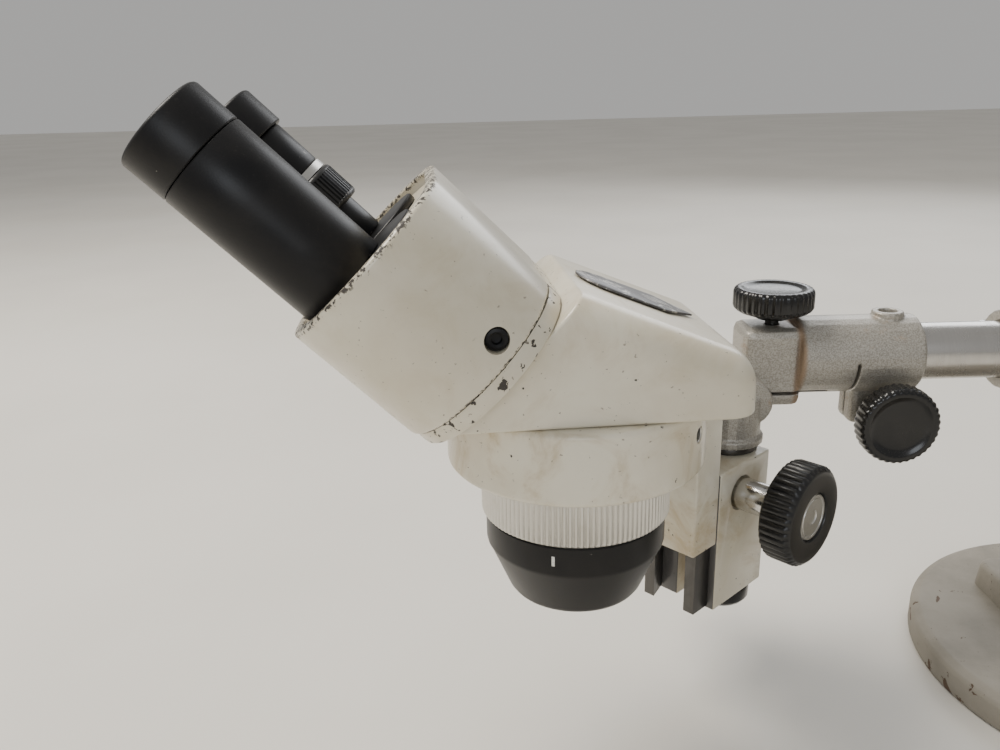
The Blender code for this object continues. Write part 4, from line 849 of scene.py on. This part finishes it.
def lower_barrel():
    """The ribbed zoom ring and the black cone under it."""
    low, high = local_box("zoom_ring", POD)
    radius, top, base = high.x, high.z, low.z
    bore = CORE_TUBE_RADIUS + GAP
    ring = turned("zoom_grip", [
        (bore, top), (radius - 0.0012, top), (radius - 0.0003, top - 0.0004),
        (radius, top - 0.0010), (radius, base + 0.0014), (radius - 0.0004, base + 0.0006),
        (radius - 0.0014, base), (bore, base), (bore, top)], ZOOM_RIBS * 4)
    fluted(ring, ZOOM_RIBS, 0.0006, base + 0.0001, top - 0.0008, radius * 0.97, (1.0, 1.0, 0, 0))
    placed(ring, POD)
    grip_turn = math.radians(GRIP_SCREW_TURN)
    screw_place = aim((optical_axis.x, optical_axis.y, top - GRIP_SCREW_DROP),
                      (math.cos(grip_turn), math.sin(grip_turn), 0))
    cut(ring, rod("grip_screw_hole", 0.0018, radius - 0.004, radius + 0.01, screw_place, 24))
    delivered(ring, "zoom_ring", KNURLED, "aluminium", "zoom_ring")

    low, high = local_box("objective_cone", POD)
    radius, top, base = high.x, high.z, low.z
    tip = CONE_TIP_RADIUS
    bend = top - CONE_STRAIGHT
    lens = local_box("objective_lens", POD)[1].x
    cone = turned("front_cone", [
        (bore, top), (radius - 0.0008, top), (radius, top - 0.0008), (radius, bend + 0.0012),
        (radius - 0.0003, bend), (radius - 0.0009, bend - 0.0010),
        (tip + 0.0009, base + 0.0022), (tip + 0.0002, base + 0.0012), (tip - 0.0004, base + 0.0004),
        (tip - 0.0014, base), (lens - 0.0016, base), (lens - 0.0018, base + 0.0004),
        (lens + GAP, base + 0.003), (lens + GAP, base + 0.010), (bore - 0.0033, bend - 0.0023),
        (bore, bend - 0.0023), (bore, top)], 128)
    placed(cone, POD)
    delivered(cone, "pod", BLACK, "black_paint", "objective_cone")
    tick_turn = math.radians(TICK_TURN)
    tick = box("index_tick", (-0.0006, -0.0020, -0.0001), (0.0006, 0.0020, 0.00012))
    rounded(tick, 0.0001, 2)
    placed(tick, aim((optical_axis.x + radius * math.cos(tick_turn),
                      optical_axis.y + radius * math.sin(tick_turn), bend + TICK_ABOVE_BEND),
                     (math.cos(tick_turn), math.sin(tick_turn), 0)))
    delivered(tick, "pod", WHITE, "nameplate")


def eyecup(node, body):
    """A rubber cup: a soft lip round a funnel down to the eye lens."""
    low, high = local_box(node, HEAD)
    centre, radius = (low + high) / 2, (high.x - low.x) / 2
    lens, well = EYE_LENS_RADIUS, high.z - EYECUP_WELL
    cup = turned(node + "_lip", [
        (EYECUP_BORE, low.z), (radius - 0.0004, low.z), (radius, low.z + 0.0004),
        (radius, high.z - 0.0013), (radius - 0.0003, high.z - 0.0006),
        (radius - 0.0009, high.z - 0.0001), (radius - 0.0016, high.z),
        (radius - 0.0026, high.z), (radius - 0.0036, high.z - 0.0005),
        (lens + 0.0016, high.z - 0.0032), (lens + GAP, high.z - 0.0046),
        (lens + GAP, well), (EYECUP_BORE, well), (EYECUP_BORE, low.z)], 112)
    placed(cup, HEAD @ Matrix.Translation((centre.x, centre.y, 0)))
    delivered(cup, body, BLACK, "black_knob", node)


def barrel(node, body, insets, bore, finish, slot, ribs=0):
    """A tube of the eyepieces: its outside as (inset from its radius, share of its length)."""
    low, high = local_box(node, HEAD)
    centre, radius = (low + high) / 2, (high.x - low.x) / 2
    length = high.z - low.z
    outside = [(radius - inset, low.z + share * length) for inset, share in insets]
    steps = ribs * 4 if ribs else 112
    profile = [(bore, low.z), *outside, (bore, high.z), (bore, low.z)]
    tube = turned(node + "_body", profile, steps)
    if ribs:
        fluted(tube, ribs, 0.0006, low.z + 0.12 * length, high.z - 0.12 * length, radius - 0.0003,
               (1.0, 1.0, 0, 0))
    placed(tube, HEAD @ Matrix.Translation((centre.x, centre.y, 0)))
    delivered(tube, body, finish, slot, node)


def eyepieces():
    """Both eyepieces: the near one plain, the other with its dioptre ring and bright band."""
    plain = [(0.0003, 0), (0, 0.008), (0, 0.30), (0, 0.65), (0, 0.992), (0.0003, 1)]
    short = [(0.0004, 0), (0, 0.03), (0, 0.97), (0.0004, 1)]
    barrel("right_tube", "right_eyepiece", plain, 0.011, BLACK, "black_paint")
    barrel("left_neck", "left_turret", short, 0.009, BLACK, "black_paint")
    barrel("diopter_ring", "diopter_ring", [
        (0.0010, 0), (0.0002, 0.05), (0, 0.11), (0, 0.13), (0, 0.87), (0, 0.89), (0.0002, 0.95),
        (0.0010, 1)], 0.0133, KNOB_MATT, "black_knob", DIOPTER_RIBS)
    barrel("silver_band", "left_eyepiece", short, 0.010, SATIN, "aluminium")
    barrel("left_barrel", "left_eyepiece", short, 0.010, BLACK, "black_paint")
    eyecup("right_eyecup", "right_eyepiece")
    eyecup("left_eyecup", "left_eyepiece")


# ---- carried-over pieces ------------------------------------------------------------------

def carried_over():
    """The CAD nodes that stay: their edges softened and each given its finish."""
    finishes = {
        STEEL_X: ("boom_bar",),
        STEEL_Z: ("post", "yaw_pin"),
        CHROME: ("shaft_sleeve_right", "shaft_sleeve_left", "post_stop_collar_screw",
                 "boom_stop_collar_screw"),
        CAST: ("post_stop_collar", "boom_stop_collar"),
        DARK_STEEL: ("post_set_screw", "tilt_pin", "pin_washer", "rail_right", "rail_left",
                     "focus_slide", "zoom_ring_screw"),
        SATIN: ("pinion_shaft",),
        KNOB: ("boom_end_cap", "pin_cap"),
        CREAM_BLOCK: ("focus_block",),
        BRASS: ("rack", "zoom_lens_cell_right", "zoom_lens_cell_left"),
        BLACK: ("pod_seat", "turret_right", "turret_left"),
        GLASS: ("objective_lens", "right_eye_lens", "left_eye_lens", "prism_right",
                "prism_left"),
        PLATE: ("nameplate",),
    }
    for finish, names in finishes.items():
        for name in names:
            node = frame["nodes"][name]
            node.data.materials.clear()
            node.data.materials.append(finish)
            node.data.shade_smooth()
            weld = node.modifiers.new("weld", "WELD")
            weld.merge_threshold = 1e-5
            bevel = node.modifiers.new("edges", "BEVEL")
            bevel.width = 0.0003
            bevel.segments = 2
            bevel.limit_method = "ANGLE"
            bevel.angle_limit = math.radians(32)
            bevel.harden_normals = True


# ---- studio -------------------------------------------------------------------------------

def studio():
    """A pale floor, three soft lamps and the camera."""
    bpy.ops.object.select_all(action="DESELECT")
    bpy.ops.mesh.primitive_plane_add(size=14, location=(0, 0, -0.0002))
    floor = bpy.context.object
    floor.name = "studio_floor"
    floor.data.materials.append(pale_floor())
    target = Vector((-0.2, 0, 0.16))
    for name, at, size, power, colour in (
            ("key", (-1.3, 0.2, 1.7), 0.9, 46, (1.0, 0.95, 0.87)),
            ("back", (0.6, 1.5, 1.2), 1.2, 16, (0.95, 0.97, 1.0)),
            ("fill", (-0.4, -1.9, 0.9), 0.8, 9, (0.88, 0.93, 1.0))):
        lamp = bpy.data.lights.new(name, "AREA")
        lamp.size = size
        lamp.energy = power
        lamp.color = colour
        holder = bpy.data.objects.new(name, lamp)
        bpy.context.scene.collection.objects.link(holder)
        holder.location = at
        holder.rotation_euler = (target - Vector(at)).to_track_quat("-Z", "Y").to_euler()
    world = bpy.data.worlds.new("studio")
    bpy.context.scene.world = world
    world.use_nodes = True
    background = world.node_tree.nodes["Background"]
    background.inputs["Color"].default_value = rgb(0.88, 0.87, 0.85)
    background.inputs["Strength"].default_value = 0.50
    lens = bpy.data.cameras.new("camera")
    lens.lens = 31.32
    lens.sensor_width = 36
    lens.clip_start = 0.01
    camera = bpy.data.objects.new("camera", lens)
    bpy.context.scene.collection.objects.link(camera)
    camera.matrix_world = (Matrix.Translation((-0.317, -0.375, 0.291))
                           @ Matrix.Rotation(math.radians(71.5), 4, "X")
                           @ Matrix.Rotation(math.radians(-1.5), 4, "Z"))
    bpy.context.scene.camera = camera


stand_base()
boom_castings()
for held in ("post", "boom", "tilt", "bracket"):
    clamp_knob(held + "_clamp_knob")
focus_knob("right", -1)
focus_knob("left", 1)
ring_and_bracket()
shell()
head()
lower_barrel()
eyepieces()
carried_over()
studio()
